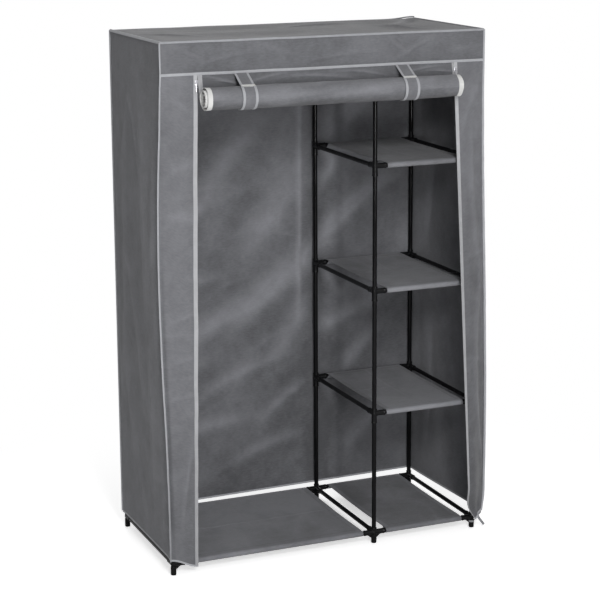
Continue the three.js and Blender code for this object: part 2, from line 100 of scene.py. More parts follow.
# Sizes that the solids share with this file, in metres
CLOTH = 0.001  # thickness of the cloth
LEFT_BILLOW = 0.020  # the most that the left front seam stands out
RIGHT_BILLOW = 0.027  # the most that the right front seam leans out
LEFT_FLAP = 0.117  # width of the left flap at its top, from the corner seam to the edge with the zip
LEFT_DRIFT = 0.024  # how far its zip comes nearer to the corner on the way down
LEFT_DIP = 0.022  # how far its hem slopes down towards the zip
LEFT_HEM_RISE = 0.009  # how much higher the left hem lies than its solid's, so that the base tube shows
LEFT_ZIP_END = 0.062  # height of the low end of the zip
RIGHT_FLAP = 0.108  # the same sizes of the right flap, and three of its own
RIGHT_DRIFT = 0.040
RIGHT_DIP = 0.026
RIGHT_ZIP_END = 0.180
RIGHT_SWING = 0.064  # how far its loose edge comes forward on the way down
RIGHT_TUCK = 0.050  # how much further the tie draws its low end towards the corner
FLAP_START = 0.002  # how far its loose edge stands forward at the top
ZIP_BAND = 0.014  # width of the flat band that carries a zip
SEAM_GAP = 0.0003  # how far the flaps and the door stop short of the valance's lower edge
ROLL_R = 0.038  # outer radius of the rolled door
ROLL_PITCH = 0.0026  # what each turn of the roll adds to its radius
ROLL_Y = ROLL_LOW.y + ROLL_R
ROLL_Z = ROLL_HIGH.z - ROLL_R + 0.0016
DOOR_HEM_Z = 0.045  # height of the door's lower edge when the door hangs down
SLEEVE_R = 0.0091  # outer radius of a connector's socket
ARM = 0.038  # reach of a socket's mouth from the middle of its connector
STRAP_X = {side: middle_of(f"roll_strap_{side}").x for side in ("left", "right")}
STRAP_WIDTH = 0.050


def mix(a, b, t):
    """The value a where t is 0 and b where t is 1, on a straight line between them."""
    return a + (b - a) * t


def ease(t):
    """Nought up to 0, one from 1, and 3t^2 - 2t^3 in between."""
    t = np.clip(t, 0, 1)
    return t * t * (3 - 2 * t)


def hump(t):
    """Nought at 0 and 1 and one half way: the square of the sine of pi t."""
    return np.sin(np.pi * np.clip(t, 0, 1)) ** 2


def bell(distance, width):
    """One at no distance, fading on both sides: e to the minus square of distance over width."""
    return np.exp(-((distance / width) ** 2))


def share_grid(rows, columns):
    """Shares u across and v up, for every point of a grid."""
    return np.meshgrid(np.linspace(0, 1, columns), np.linspace(0, 1, rows))


def stack(x, y, z):
    """Points from x, y and z, each of them a number or an array."""
    return np.stack(np.broadcast_arrays(x, y, z), axis=-1).astype(float)


def unit(vectors):
    """The same directions, each with a length of one."""
    return vectors / np.maximum(np.linalg.norm(vectors, axis=-1, keepdims=True), 1e-12)


def arc(points, axis=0):
    """The length of the way along one axis of a grid, or along a line, up to each of its points."""
    steps = np.linalg.norm(np.diff(points, axis=axis), axis=-1)
    return np.insert(np.cumsum(steps, axis=axis), 0, 0, axis=axis)


def normals(points):
    """The normal of a grid at each point: the cross product of its steps across and up."""
    return unit(np.cross(np.gradient(points, axis=1), np.gradient(points, axis=0)))


def value_noise(x, y, seed):
    """Random heights from 0 to 1 on whole-number points, joined by smoothsteps of the way between them."""
    size = 64
    table = np.random.default_rng(seed).random((size, size))
    column, row = np.floor(x).astype(int), np.floor(y).astype(int)
    s, t = ease(x - column), ease(y - row)
    corner = lambda i, j: table[(row + j) % size, (column + i) % size]
    return mix(mix(corner(0, 0), corner(1, 0), s), mix(corner(0, 1), corner(1, 1), s), t)


def streaks(x, y, angle, long, wide, seed):
    """Value noise drawn out to long metres on a line turned by some degrees, and to wide metres across."""
    shift_along, shift_across = 7.3, 3.1
    a = math.radians(angle)
    along, across = x * math.cos(a) + y * math.sin(a), y * math.cos(a) - x * math.sin(a)
    return value_noise(along / long + shift_along, across / wide + shift_across, seed)


def creases(x, y, angle, long, wide, seed, sharp=5):
    """Thin ridges where streaks pass half their height: one minus twice the distance from it, to a power."""
    return (1 - np.abs(2 * streaks(x, y, angle, long, wide, seed) - 1)) ** sharp


def crumple(x, y, seed, lean):
    """Hanging cloth's relief, from 0 to about 1: wide folds that lean by some degrees, smaller ones, and
    sharp creases."""
    bent = x + 0.05 * (value_noise(x * 4, y * 4, seed + 1) - 0.5)
    wide = streaks(bent, y, lean, 0.55, 0.17, seed + 2)
    middle = streaks(bent, y, lean - 75, 0.30, 0.09, seed + 3)
    small = streaks(bent, y, lean + 20, 0.10, 0.032, seed + 4)
    rough = streaks(bent, y, lean - 40, 0.035, 0.022, seed + 7)
    ridge = creases(bent, y, lean - 10, 0.40, 0.13, seed + 5)
    cross = creases(bent, y, lean + 70, 0.25, 0.16, seed + 6)
    return 0.44 * wide + 0.22 * middle + 0.10 * small + 0.04 * rough + 0.12 * ridge + 0.08 * cross


def folds(x, z, piece):
    """The sum of a piece's single folds. Each is a rounded ridge along a slightly bowed line, steeper on its
    lower side, that fades towards its ends."""
    bow, steep = 0.12, 0.55
    total = np.zeros(np.broadcast(x, z).shape)
    for at_x, at_z, angle, length, width, height in FOLDS[piece]:
        a = math.radians(angle)
        along = (x - at_x) * math.cos(a) + (z - at_z) * math.sin(a)
        across = (z - at_z) * math.cos(a) - (x - at_x) * math.sin(a) + bow * along**2 / length
        side = np.where(across > 0, width, width * steep)
        total = total + height * bell(across, side) * bell(along, length / 2)
    return total


def rounded(points, passes, steps):
    """Evenly spaced points along a line, each then moved a few times to the mean of its neighbours and it."""
    points = np.array(points, float)
    length = arc(points)
    even = np.linspace(0, length[-1], steps)
    line = np.stack([np.interp(even, length, points[:, k]) for k in range(points.shape[1])], axis=1)
    for _ in range(passes):
        line[1:-1] = (line[:-2] + line[1:-1] + line[2:]) / 3
    return line


class Surface:
    """Grids of points that become one mesh. Each grid's UV is its own arc length, in metres."""

    def __init__(self):
        self.points = []
        self.faces = []
        self.chart = []
        self.count = 0

    def grid(self, points, flip=False):
        """Squares between the rows and columns of points."""
        rows, columns = points.shape[:2]
        spots = np.arange(rows * columns).reshape(rows, columns)
        square = (spots[:-1, :-1], spots[:-1, 1:], spots[1:, 1:], spots[1:, :-1])
        corners = np.stack(square, axis=-1).reshape(-1, 4)
        if flip:
            corners = corners[:, ::-1]
        chart = np.stack([arc(points, 1), arc(points, 0)], axis=-1).reshape(-1, 2)
        self.points.append(points.reshape(-1, 3))
        self.faces.append(corners + self.count)
        self.chart.append(chart[corners])
        self.count += rows * columns
        return self

    def shell(self, inner, outer):
        """Two like grids, closed round their edges into a thin body."""
        self.grid(outer)
        self.grid(inner, flip=True)
        for take in (lambda p: p[0], lambda p: p[-1], lambda p: p[:, 0], lambda p: p[:, -1]):
            self.grid(np.stack([take(inner), take(outer)]))
        return self

    def layer(self, points, under=CLOTH / 2, over=CLOTH / 2):
        """A thin body whose faces lie under and over a grid, this far along the grid's own normal."""
        n = normals(points)
        return self.shell(points - n * under, points + n * over)

    def turned(self, foot, axis, profile, sides=32):
        """A profile of (height, radius) pairs, turned about an axis from foot."""
        axis = np.array(axis, float)
        side = unit(np.cross(axis, (0, 0, 1) if abs(axis[2]) < 0.9 else (1, 0, 0)))
        other = np.cross(axis, side)
        angle = np.linspace(0, 2 * np.pi, sides + 1)
        ring = np.cos(angle)[:, None] * side + np.sin(angle)[:, None] * other
        profile = np.array(profile, float)
        height, radius = profile[:, 0, None, None], profile[:, 1, None, None]
        return self.grid(np.array(foot, float) + height * axis + radius * ring)

    def band(self, path, across, width, thickness, corners=14, square=3.0):
        """A strip along a path. Its section is a superellipse as wide and as thick as is said."""
        path = np.array(path, float)
        along = unit(np.gradient(path, axis=0))
        across = np.broadcast_to(np.array(across, float), path.shape)
        across = unit(across - along * np.sum(across * along, axis=1)[:, None])
        up = np.cross(along, across)
        angle = np.linspace(0, 2 * np.pi, corners + 1)
        x = superbend(np.cos(angle), square) * width / 2
        y = superbend(np.sin(angle), square) * thickness / 2
        rings = path[:, None] + across[:, None] * x[None, :, None] + up[:, None] * y[None, :, None]
        ends = [np.broadcast_to(path[k], (1, *rings.shape[1:])) for k in (0, -1)]
        return self.grid(np.concatenate([ends[0], rings, ends[1]]))

    def pad(self, centre, half, square):
        """A rounded block: the superellipsoid with these half axes."""
        angle, rise = np.meshgrid(np.linspace(-np.pi, np.pi, 25), np.linspace(-np.pi / 2, np.pi / 2, 13))
        level = superbend(np.cos(rise), square)
        x = level * superbend(np.cos(angle), square)
        y = level * superbend(np.sin(angle), square)
        return self.grid(np.array(centre) + stack(x, y, superbend(np.sin(rise), square)) * np.array(half))

    def welded(self, name):
        """The grids as one mesh, its doubles merged and its faces turned outwards."""
        mesh = bpy.data.meshes.new(name)
        mesh.from_pydata(np.concatenate(self.points), [], np.concatenate(self.faces))
        layer = mesh.uv_layers.new(name="Cloth")
        layer.data.foreach_set("uv", np.concatenate(self.chart).astype(np.float32).ravel())
        work = bmesh.new()
        work.from_mesh(mesh)
        bmesh.ops.remove_doubles(work, verts=work.verts, dist=2e-6)
        bmesh.ops.recalc_face_normals(work, faces=work.faces)
        work.to_mesh(mesh)
        work.free()
        return mesh

    def build(self, name, material, body="frame", replaces=(), slot=None, sharp=40, voxel=None, tone=None):
        """The finished piece, riding on its body. Tone gives the painted light (up to 1) or painted shade
        (down to -1) laid on a cloth, as a function of x, y and z."""
        piece = bpy.data.objects.new(name, self.welded(name))
        bpy.context.scene.collection.objects.link(piece)
        if voxel:
            fuse(piece, voxel)
        mesh = piece.data
        if tone:
            spots = np.zeros(len(mesh.vertices) * 3, np.float32)
            mesh.vertices.foreach_get("co", spots)
            # The cloth's painted light and shade go into its Fold attribute, which its finish reads
            painted_shade = mesh.attributes.new("Fold", "FLOAT", "POINT")
            painted_shade.data.foreach_set("value", np.clip(tone(*spots.reshape(-1, 3).T), -1, 1).astype(np.float32))
        mesh.materials.append(material)
        mesh.shade_smooth()
        mesh.set_sharp_from_angle(angle=math.radians(sharp))
        if body:
            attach(piece, body)
        if replaces:
            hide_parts(*replaces)
        return piece


def superbend(wave, square):
    """A sine or cosine made squarer: its size to the power of two over square, with its sign kept."""
    return np.sign(wave) * np.abs(wave) ** (2 / square)


def fuse(piece, voxel):
    """Melts a piece's crossing bodies into one skin with small fillets, as a moulding has."""
    for kind, settings in (
        ("REMESH", {"mode": "VOXEL", "voxel_size": voxel}),
        ("SMOOTH", {"factor": 0.5, "iterations": 3}),
    ):
        modifier = piece.modifiers.new(kind.title(), kind)
        for key, value in settings.items():
            setattr(modifier, key, value)
    seen = piece.evaluated_get(bpy.context.evaluated_depsgraph_get())
    mesh = bpy.data.meshes.new_from_object(seen)
    piece.modifiers.clear()
    piece.data = mesh


# Shader maths
class Value:
    """A number, vector or shader socket. An expression on a number adds the Math nodes that work it out."""

    def __init__(self, shade, socket):
        self.shade = shade
        self.socket = socket

    def other(self, output):
        """Another output of the same node."""
        return Value(self.shade, self.socket.node.outputs[output])

    def maths(self, operation, *others):
        """A Math node's result on this socket and the others."""
        return self.shade.node("ShaderNodeMath", {"operation": operation}, dict(enumerate([self, *others])))

    def __add__(self, other):
        return self.maths("ADD", other)

    def __sub__(self, other):
        return self.maths("SUBTRACT", other)

    def __rsub__(self, other):
        return self.shade.node("ShaderNodeMath", {"operation": "SUBTRACT"}, {0: other, 1: self})

    def __mul__(self, other):
        return self.maths("MULTIPLY", other)

    def __truediv__(self, other):
        return self.maths("DIVIDE", other)

    __radd__ = __add__
    __rmul__ = __mul__

    def wave(self, pitch):
        """A sine that goes round once in every pitch."""
        return (self * (2 * math.pi / pitch)).maths("SINE")

    def fraction(self):
        """The part of a number behind its point."""
        return self.maths("FRACT")

    def between(self, low, high):
        """Nought below low, one above high, smooth in between."""
        inputs = {"Value": self, "From Min": low, "From Max": high}
        return self.shade.node("ShaderNodeMapRange", {"interpolation_type": "SMOOTHSTEP"}, inputs)


class Shade:
    """The nodes of one material, or of the world."""

    def __init__(self, owner):
        owner.use_nodes = True
        self.owner = owner
        self.tree = owner.node_tree
        self.tree.nodes.clear()

    def node(self, kind, settings=None, inputs=None, output=0):
        """Any node: its settings are set first, then its sockets get values or links."""
        node = self.tree.nodes.new(kind)
        for key, value in (settings or {}).items():
            setattr(node, key, value)
        for key, value in (inputs or {}).items():
            if isinstance(value, Value):
                self.tree.links.new(value.socket, node.inputs[key])
            else:
                node.inputs[key].default_value = value
        return Value(self, node.outputs[output]) if node.outputs else None

    def place(self):
        """Where a point lies on the whole object, in metres."""
        return self.node("ShaderNodeTexCoord", output="Object")

    def painted_light_and_shade(self):
        """How far a point's painted light (up to 1) or painted shade (down to -1) moves the cloth's tone."""
        return self.node("ShaderNodeAttribute", {"attribute_name": "Fold"}, output="Fac")

    def chart(self):
        """Where a point lies on its own cloth, in metres, and its parts across and up."""
        chart = self.node("ShaderNodeUVMap", {"uv_map": "Cloth"})
        across = self.node("ShaderNodeSeparateXYZ", {}, {"Vector": chart})
        return chart, across, across.other("Y")

    def noise(self, place, scale, detail):
        """Smooth random numbers from 0 to 1 that vary with place."""
        return self.node("ShaderNodeTexNoise", {}, {"Vector": place, "Scale": scale, "Detail": detail})

    def stretched(self, place, across, up, deep=1.0):
        """A place scaled by its own amount in each direction."""
        return self.node("ShaderNodeMapping", {}, {"Vector": place, "Scale": (across, up, deep)})

    def tone(self, share, dark, light):
        """A colour from dark to light by share. A Mix node's inputs 6 and 7 and its output 2 are colours."""
        return self.node("ShaderNodeMix", {"data_type": "RGBA"}, {"Factor": share, 6: dark, 7: light}, 2)

    def bump(self, height, distance, strength):
        """The surface's direction, tilted by the slopes of a height."""
        return self.node("ShaderNodeBump", {}, {"Height": height, "Distance": distance, "Strength": strength})

    def finish(self, inputs):
        """The surface shader, and the finished material."""
        shader = self.node("ShaderNodeBsdfPrincipled", {}, inputs)
        self.node("ShaderNodeOutputMaterial", {}, {"Surface": shader})
        return self.owner


def new_shade(name):
    """The empty shader of a new material."""
    return Shade(bpy.data.materials.new(name))


def scaled(colour, amount):
    """A lighter or darker colour."""
    return tuple(min(1.0, c * amount) for c in colour[:3]) + (1.0,)


PAINTED_SHADE_REACH = 0.42  # how much of a cloth's range of tones its painted light and shade take up


def cloth_finish(name, colour, fade=0.36):
    """Pressed non-woven cloth: rows of small press marks, loose fibres, faint clouds, and the painted light
    and shade of its Fold attribute. Fade is the share by which its colour goes up and down."""
    shade = new_shade(name)
    place = shade.place()
    chart, across, up = shade.chart()
    marks = (across.wave(0.0022) * up.wave(0.0018)).between(0.25, 0.75)
    fibres = shade.noise(shade.stretched(chart, 900.0, 260.0), scale=1.0, detail=2.0)
    web = shade.noise(shade.stretched(chart, 70.0, 210.0), scale=1.0, detail=3.0)
    cloud = shade.noise(place, scale=7.0, detail=4.0)
    dapple = shade.noise(place, scale=19.0, detail=3.0)
    patch = shade.noise(place, scale=48.0, detail=3.0)
    mottle = (cloud - 0.5) * 0.8 + (dapple - 0.5) * 0.6 + (patch - 0.5) * 0.4 + (web - 0.5) * 0.7
    # The Fold attribute adds the painted light and shade
    light = 0.5 + shade.painted_light_and_shade() * PAINTED_SHADE_REACH + mottle * (0.30 / fade) + (fibres - 0.5) * 0.25
    height = fibres * 0.3 - marks * 0.55 + patch * 0.6 + web * 0.5
    return shade.finish({
        "Base Color": shade.tone(light - marks * 0.06, scaled(colour, 1 - fade), scaled(colour, 1 + fade)),
        "Roughness": 0.78 + fibres * 0.14,
        "Normal": shade.bump(height, distance=0.00014, strength=0.8),
        "Sheen Weight": 0.12,
        "Sheen Roughness": 0.6,
        "Specular IOR Level": 0.28,
    })


def tape_finish(name, colour, stitches=True):
    """Woven binding tape: fine ribs along it, a run of stitches, and lengths drawn lighter or darker as
    painted light and shade.
    """
    shade = new_shade(name)
    _, across, up = shade.chart()
    ribs = across.wave(0.0011) * 0.5 + 0.5
    rows = up.wave(0.0016) * 0.5 + 0.5
    wear = shade.noise(shade.place(), scale=45.0, detail=4.0)
    light = 0.31 + (wear.between(0.3, 0.7) * 0.6 + ribs * 0.2 + rows * 0.2) * 0.275 + shade.painted_light_and_shade() * PAINTED_SHADE_REACH
    height = ribs * 0.4 + rows * 0.3 + wear * 0.5
    if stitches:
        stitch = (up / 0.0042).fraction()
        height = height + stitch.between(0.12, 0.3) * (1 - stitch.between(0.75, 0.92)) * 0.5
    return shade.finish({
        "Base Color": shade.tone(light, scaled(colour, 0.7), scaled(colour, 1.35)),
        "Roughness": 0.7 + wear * 0.2,
        "Normal": shade.bump(height, distance=0.00015, strength=0.7),
        "Sheen Weight": 0.2,
        "Specular IOR Level": 0.3,
    })


def paint_finish(name, colour):
    """Black stove paint on steel: faint orange peel, with a little dust and rubbing."""
    shade = new_shade(name)
    peel = shade.noise(shade.place(), scale=420.0, detail=2.0)
    rub = shade.noise(shade.place(), scale=24.0, detail=5.0)
    return shade.finish({
        "Base Color": shade.tone(rub.between(0.5, 0.8), colour, scaled(colour, 1.6)),
        "Roughness": 0.05 + rub * 0.10,
        "Normal": shade.bump(peel, distance=0.00002, strength=0.3),
        "Specular IOR Level": 0.12,
    })


def moulded_finish(name, colour):
    """Moulded black plastic: an even gloss with flow clouding and a few scuffs."""
    shade = new_shade(name)
    place = shade.place()
    grain = shade.noise(place, scale=700.0, detail=2.0)
    flow = shade.noise(place, scale=60.0, detail=3.0)
    scuff = shade.noise(place, scale=180.0, detail=6.0).between(0.58, 0.72)
    return shade.finish({
        "Base Color": shade.tone(scuff * 0.4 + flow * 0.3, colour, scaled(colour, 2.2)),
        "Roughness": 0.14 + flow * 0.14 + scuff * 0.12,
        "Normal": shade.bump(grain * 0.5 + flow, distance=0.00005, strength=0.5),
        "Specular IOR Level": 0.13,
    })


def metal_finish(name, colour):
    """Cast and plated zip hardware: bright metal with fine scratches along it and dull patches."""
    shade = new_shade(name)
    scratch = shade.noise(shade.stretched(shade.place(), 3000.0, 3000.0, 300.0), scale=1.0, detail=2.0)
    dull = shade.noise(shade.place(), scale=260.0, detail=4.0)
    return shade.finish({
        "Base Color": shade.tone(dull, scaled(colour, 0.8), colour),
        "Metallic": 1.0,
        "Roughness": 0.2 + dull * 0.18,
        "Normal": shade.bump(scratch, distance=0.00003, strength=0.6),
    })


# Settings that a user would change
def colour_property(label, words, default):
    return bpy.props.FloatVectorProperty(
        name=label, description=words, subtype="COLOR", size=4, min=0, max=1, default=(*default, 1.0)
    )


def length_property(label, words, default):
    return bpy.props.FloatProperty(name=label, description=words, unit="LENGTH", min=0, default=default)


def strength_property(label, words, default, unit="NONE"):
    return bpy.props.FloatProperty(name=label, description=words, unit=unit, default=default)


class WardrobeCoverSettings(bpy.types.PropertyGroup):
    """Colours and sizes of the cover's cloth, bindings and hems"""

    cloth: colour_property("Cloth", "Colour of the cover, the door and the shelves", (0.150, 0.152, 0.164))
    binding: colour_property("Binding", "Colour of the seam bindings and hems", (0.345, 0.35, 0.37))
    tape: colour_property("Zip tape", "Colour of the zip tapes on the flaps", (0.32, 0.322, 0.334))
    relief: length_property("Folds", "How far the cover's folds stand out", 0.014)
    piping: length_property("Seam binding", "Width of the binding on each seam", 0.0075)
    hem: length_property("Hem", "Height of the bound hems", 0.006)


class WardrobeFrameSettings(bpy.types.PropertyGroup):
    """Colours of the tubes and connectors, and the connectors' details"""

    paint: colour_property("Tubes", "Colour of the painted tubes", (0.0045, 0.0045, 0.005))
    plastic: colour_property("Connectors", "Colour of the moulded connectors", (0.005, 0.005, 0.0055))
    rim: length_property("Rim", "How far the rim of a socket stands out", 0.0008)
    rim_length: length_property("Rim length", "Length of the rim along its socket", 0.004)
    detail: length_property("Moulding detail", "Size of the smallest step in a moulding", 0.0009)


class WardrobeDoorSettings(bpy.types.PropertyGroup):
    """Sizes of the rolled door, and the colour of its tapes"""

    edge_tape: colour_property("Edge tape", "Colour of the tape along the door's edges", (0.62, 0.62, 0.61))
    edge_width: length_property("Edge tape width", "Width of the tape along the door's edges", 0.017)
    strap_edge: length_property("Strap edge", "Width of the light edges of a strap", 0.009)
    slack: length_property("Slack", "How unevenly the door is rolled", 0.0022)


class WardrobeStageSettings(bpy.types.PropertyGroup):
    """The floor and the lights"""

    floor: colour_property("Floor", "Colour of the floor", (0.86, 0.86, 0.86))
    lift: strength_property("Floor lift", "How much brighter the camera sees the floor", 0.60)
    ambient: strength_property("Surroundings", "Strength of the light all round", 0.325)
    key: strength_property("Key light", "Power of the front light", 105, "POWER")
    strip: strength_property("Strip light", "Power of the tall light", 75, "POWER")
    back: strength_property("Back light", "Power of the light behind", 80, "POWER")
    top: strength_property("Top light", "Power of the overhead light", 2, "POWER")


def look_of(group):
    """The sizes and colours of one group of settings."""
    return getattr(bpy.context.scene, f"wardrobe_{group}")


MADE = {}


def finish_of(name):
    """Each finish is made once, from the settings, when the first piece asks for it."""
    if name not in MADE:
        cover, metal, door = look_of("cover"), look_of("frame"), look_of("door")
        makers = {
            "cover_cloth": lambda: cloth_finish(name, tuple(cover.cloth)),
            # The cover cloth with a wider range of tone, so that its painted light and shade show more
            # strongly
            "worn_cloth": lambda: cloth_finish(name, tuple(cover.cloth), fade=0.50),
            # The shelves' cloth is the cover's cloth drawn 12% lighter: painted light on the shelves
            "shelf_cloth": lambda: cloth_finish(name, scaled(cover.cloth, 1.12), fade=0.30),
            "seam_binding": lambda: tape_finish(name, tuple(cover.binding)),
            "tie_ribbon": lambda: tape_finish(name, scaled(cover.binding, 0.62), stitches=False),
            "zip_tape": lambda: tape_finish(name, tuple(cover.tape), stitches=False),
            "door_edge_tape": lambda: tape_finish(name, tuple(door.edge_tape), stitches=False),
            "black_paint": lambda: paint_finish(name, tuple(metal.paint)),
            "black_moulding": lambda: moulded_finish(name, tuple(metal.plastic)),
            "zip_metal": lambda: metal_finish(name, (0.62, 0.62, 0.65, 1.0)),
        }
        MADE[name] = makers[name]()
    return MADE[name]


# Frame
def tube_profile(length):
    """A plain tube end to end, its edges bevelled by a millimetre."""
    r, lip = TUBE_R, 0.001
    return [(0, 0), (0, r - lip), (lip, r), (length - lip, r), (length, r - lip), (length, 0)]


def socket_profile(reach):
    """A moulded socket from its root to its mouth, which has a bevelled rim and a short bore for the tube."""
    look = look_of("frame")
    r, rim, rim_start = SLEEVE_R, look.rim, reach - look.rim_length
    bore_r, bore_end = TUBE_R + 0.0003, reach - 0.004
    outside = [(0, 0), (0, r), (rim_start - rim, r), (rim_start, r + rim), (reach - rim, r + rim), (reach, r)]
    return [*outside, (reach, bore_r), (bore_end, bore_r), (bore_end, 0)]


def arms_of(side, row):
    """Directions of a connector's sockets: those along the width, and the one into the depth."""
    width = {"left": [(1, 0, 0)], "middle": [(-1, 0, 0), (1, 0, 0)], "right": [(-1, 0, 0)]}[side]
    return width, (0, 1, 0) if row == "front" else (0, -1, 0)


def add_sockets(surface, centre, arms, up, down=None):
    """An arm in each direction, a sleeve up the post and perhaps down it, and a round boss between them."""
    for arm in arms:
        surface.turned(centre, arm, socket_profile(ARM))
    surface.turned(centre, (0, 0, 1), socket_profile(up))
    if down:
        surface.turned(centre, (0, 0, -1), socket_profile(down))
    surface.pad(centre, (SLEEVE_R * 1.06,) * 3, square=2.4)


def add_gusset(surface, centre, arm):
    """A thin rib under an arm: its lower edge falls in an S curve from the arm to the foot."""
    near, far, drop, half = 0.004, 0.026, 0.0105, 0.0022
    u, v = share_grid(9, 13)
    out = mix(near, far, u)[..., None] * np.array(arm)
    low = -SLEEVE_R - drop * (1 - ease((u - 0.2) * 1.25))
    middle = np.array(centre) + out
    rise = stack(0, 0, mix(low, 0 * u, v))
    surface.shell(*(middle + side * half * np.cross(arm, (0, 0, 1)) + rise for side in (-1, 1)))


def foot_profile():
    """A short foot: it narrows a little on its way down and its lower edge is rounded."""
    low_r, high_r, edge = 0.0092, 0.0096, 0.0020
    turn = np.linspace(0, np.pi / 2, 6)[::-1]
    corner = [(edge * (1 - math.sin(a)), low_r - edge * (1 - math.cos(a))) for a in turn]
    return [(0, 0), *corner, (BASE_Z - SLEEVE_R, high_r), (BASE_Z - SLEEVE_R, 0)]


def build_tube(name, ends, replaces=()):
    """One painted tube between two points."""
    start, stop = (np.array(p, float) for p in ends)
    length = np.linalg.norm(stop - start)
    surface = Surface().turned(start, (stop - start) / length, tube_profile(length))
    return surface.build(name, finish_of("black_paint"), replaces=replaces, slot="tube")


def build_moulding(surface, node):
    """The connectors of a node, melted into one moulding."""
    black, detail = finish_of("black_moulding"), look_of("frame").detail
    surface.build(f"{node}_moulding", black, replaces=[node], slot="connector", voxel=detail)


class BuildTubes(bpy.types.Operator):
    """Builds the posts, the tubes of the base, of the shelves and of the top, and the hanging rail"""

    bl_idname = "wardrobe.tubes"
    bl_label = "Tubes"

    def execute(self, context):
        for node in sorted(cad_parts):
            if not node.startswith(("post_", "base_tube_", "top_tube_", "shelf_tube_", "hanging_rail")):
                continue
            low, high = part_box(node)
            span = high - low
            k = max(range(3), key=lambda i: span[i])
            start = (low + high) / 2
            stop = start.copy()
            start[k], stop[k] = low[k], high[k]
            build_tube(f"{node}_steel", (start, stop), [node])
        return {"FINISHED"}


# Reach of a connector's sockets along its post
SOCKET_UP = 0.016
SOCKET_DOWN = 0.034
TOP_SOCKET_UP = 0.006


class BuildConnectors(bpy.types.Operator):
    """Builds the foot connectors, and each bracket's depth tube with its two connectors"""

    bl_idname = "wardrobe.connectors"
    bl_label = "Connectors"

    def execute(self, context):
        for row in ROW_Y:
            for side in SIDES:
                self.foot(side, row)
        for level in LEVELS:
            for side, width in (("middle", [(1, 0, 0)]), ("right", [(-1, 0, 0)])):
                self.bracket(f"shelf_bracket_{level}_{side}", side, LEVEL_Z[level], width)
        self.bracket("side_brace_left", "left", LEVEL_Z["mid"], [])
        for side in SIDES:
            self.bracket(f"top_bracket_{side}", side, TOP_Z, arms_of(side, "front")[0], TOP_SOCKET_UP)
        return {"FINISHED"}

    def foot(self, side, row):
        """A foot connector: sockets, ribs below them, and the foot."""
        x, y = POST_X[side], ROW_Y[row]
        width, depth = arms_of(side, row)
        surface = Surface()
        add_sockets(surface, (x, y, BASE_Z), [*width, depth], SOCKET_UP)
        for arm in [*width, depth]:
            add_gusset(surface, (x, y, BASE_Z), arm)
        surface.turned((x, y, 0), (0, 0, 1), foot_profile())
        build_moulding(surface, f"foot_connector_{row}_{side}")

    def bracket(self, node, side, z, width, up=SOCKET_UP):
        """The two connectors at the ends of a depth tube, and that tube."""
        x = POST_X[side]
        surface = Surface()
        for row, y in ROW_Y.items():
            add_sockets(surface, (x, y, z), [*width, arms_of(side, row)[1]], up, SOCKET_DOWN)
        if node in ("top_bracket_left", "top_bracket_middle"):
            self.rail_socket(surface, x, z, 1 if side == "left" else -1)
        build_moulding(surface, node)
        ends = [(x, y + inward * SLEEVE_R, z) for y, inward in zip(ROW_Y.values(), (1, -1))]
        build_tube(f"{node}_steel", ends)

    def rail_socket(self, surface, x, z, inward):
        """A collar round the middle of the depth tube, with a socket for the end of the hanging rail."""
        collar = 0.015
        middle = (x, (ROW_Y["front"] + ROW_Y["back"]) / 2, z)
        for way in (-1, 1):
            surface.turned(middle, (0, way, 0), socket_profile(collar))
        surface.turned(middle, (inward, 0, 0), socket_profile(ARM))


# Cover. Each panel is a function of two shares, and the trims follow the same functions.
def down_share(z):
    """The share of the way from the valance's lower edge down to the hem."""
    return np.clip((VALANCE_Z - z) / (VALANCE_Z - HEM_LEFT_Z), 0, 1)


def wobble(z, seed, reach=0.0018):
    """A seam's small unevenness: a broad noise along its length, and a narrow one half as high."""
    broad, narrow = value_noise(z * 11, 0 * z + 0.5, seed), value_noise(z * 27, 0 * z + 2.5, seed)
    return reach * (broad + 0.5 * narrow - 0.75)


def left_seam_x(z):
    """The left front seam stands out most a little below half way down."""
    return LEFT + CLOTH - LEFT_BILLOW * hump(0.08 + 0.95 * down_share(z) ** 0.85) + wobble(z, seed=131)


def right_seam_x(z):
    """The right front seam leans out on its way down, and draws in again just above the hem."""
    t = down_share(z)
    lean = RIGHT_BILLOW * ease(1.25 * t) * (1 - 0.62 * ease(9 * (t - 0.93)))
    return RIGHT - CLOTH + lean + wobble(z, seed=137)


def edge_calm(u, v, reach_u=0.12, reach_v=0.06):
    """Nought on the edges of a panel, rising to one over a share of its width and height."""
    return ease(np.minimum(u, 1 - u) / reach_u) * ease(np.minimum(v, 1 - v) / reach_v)


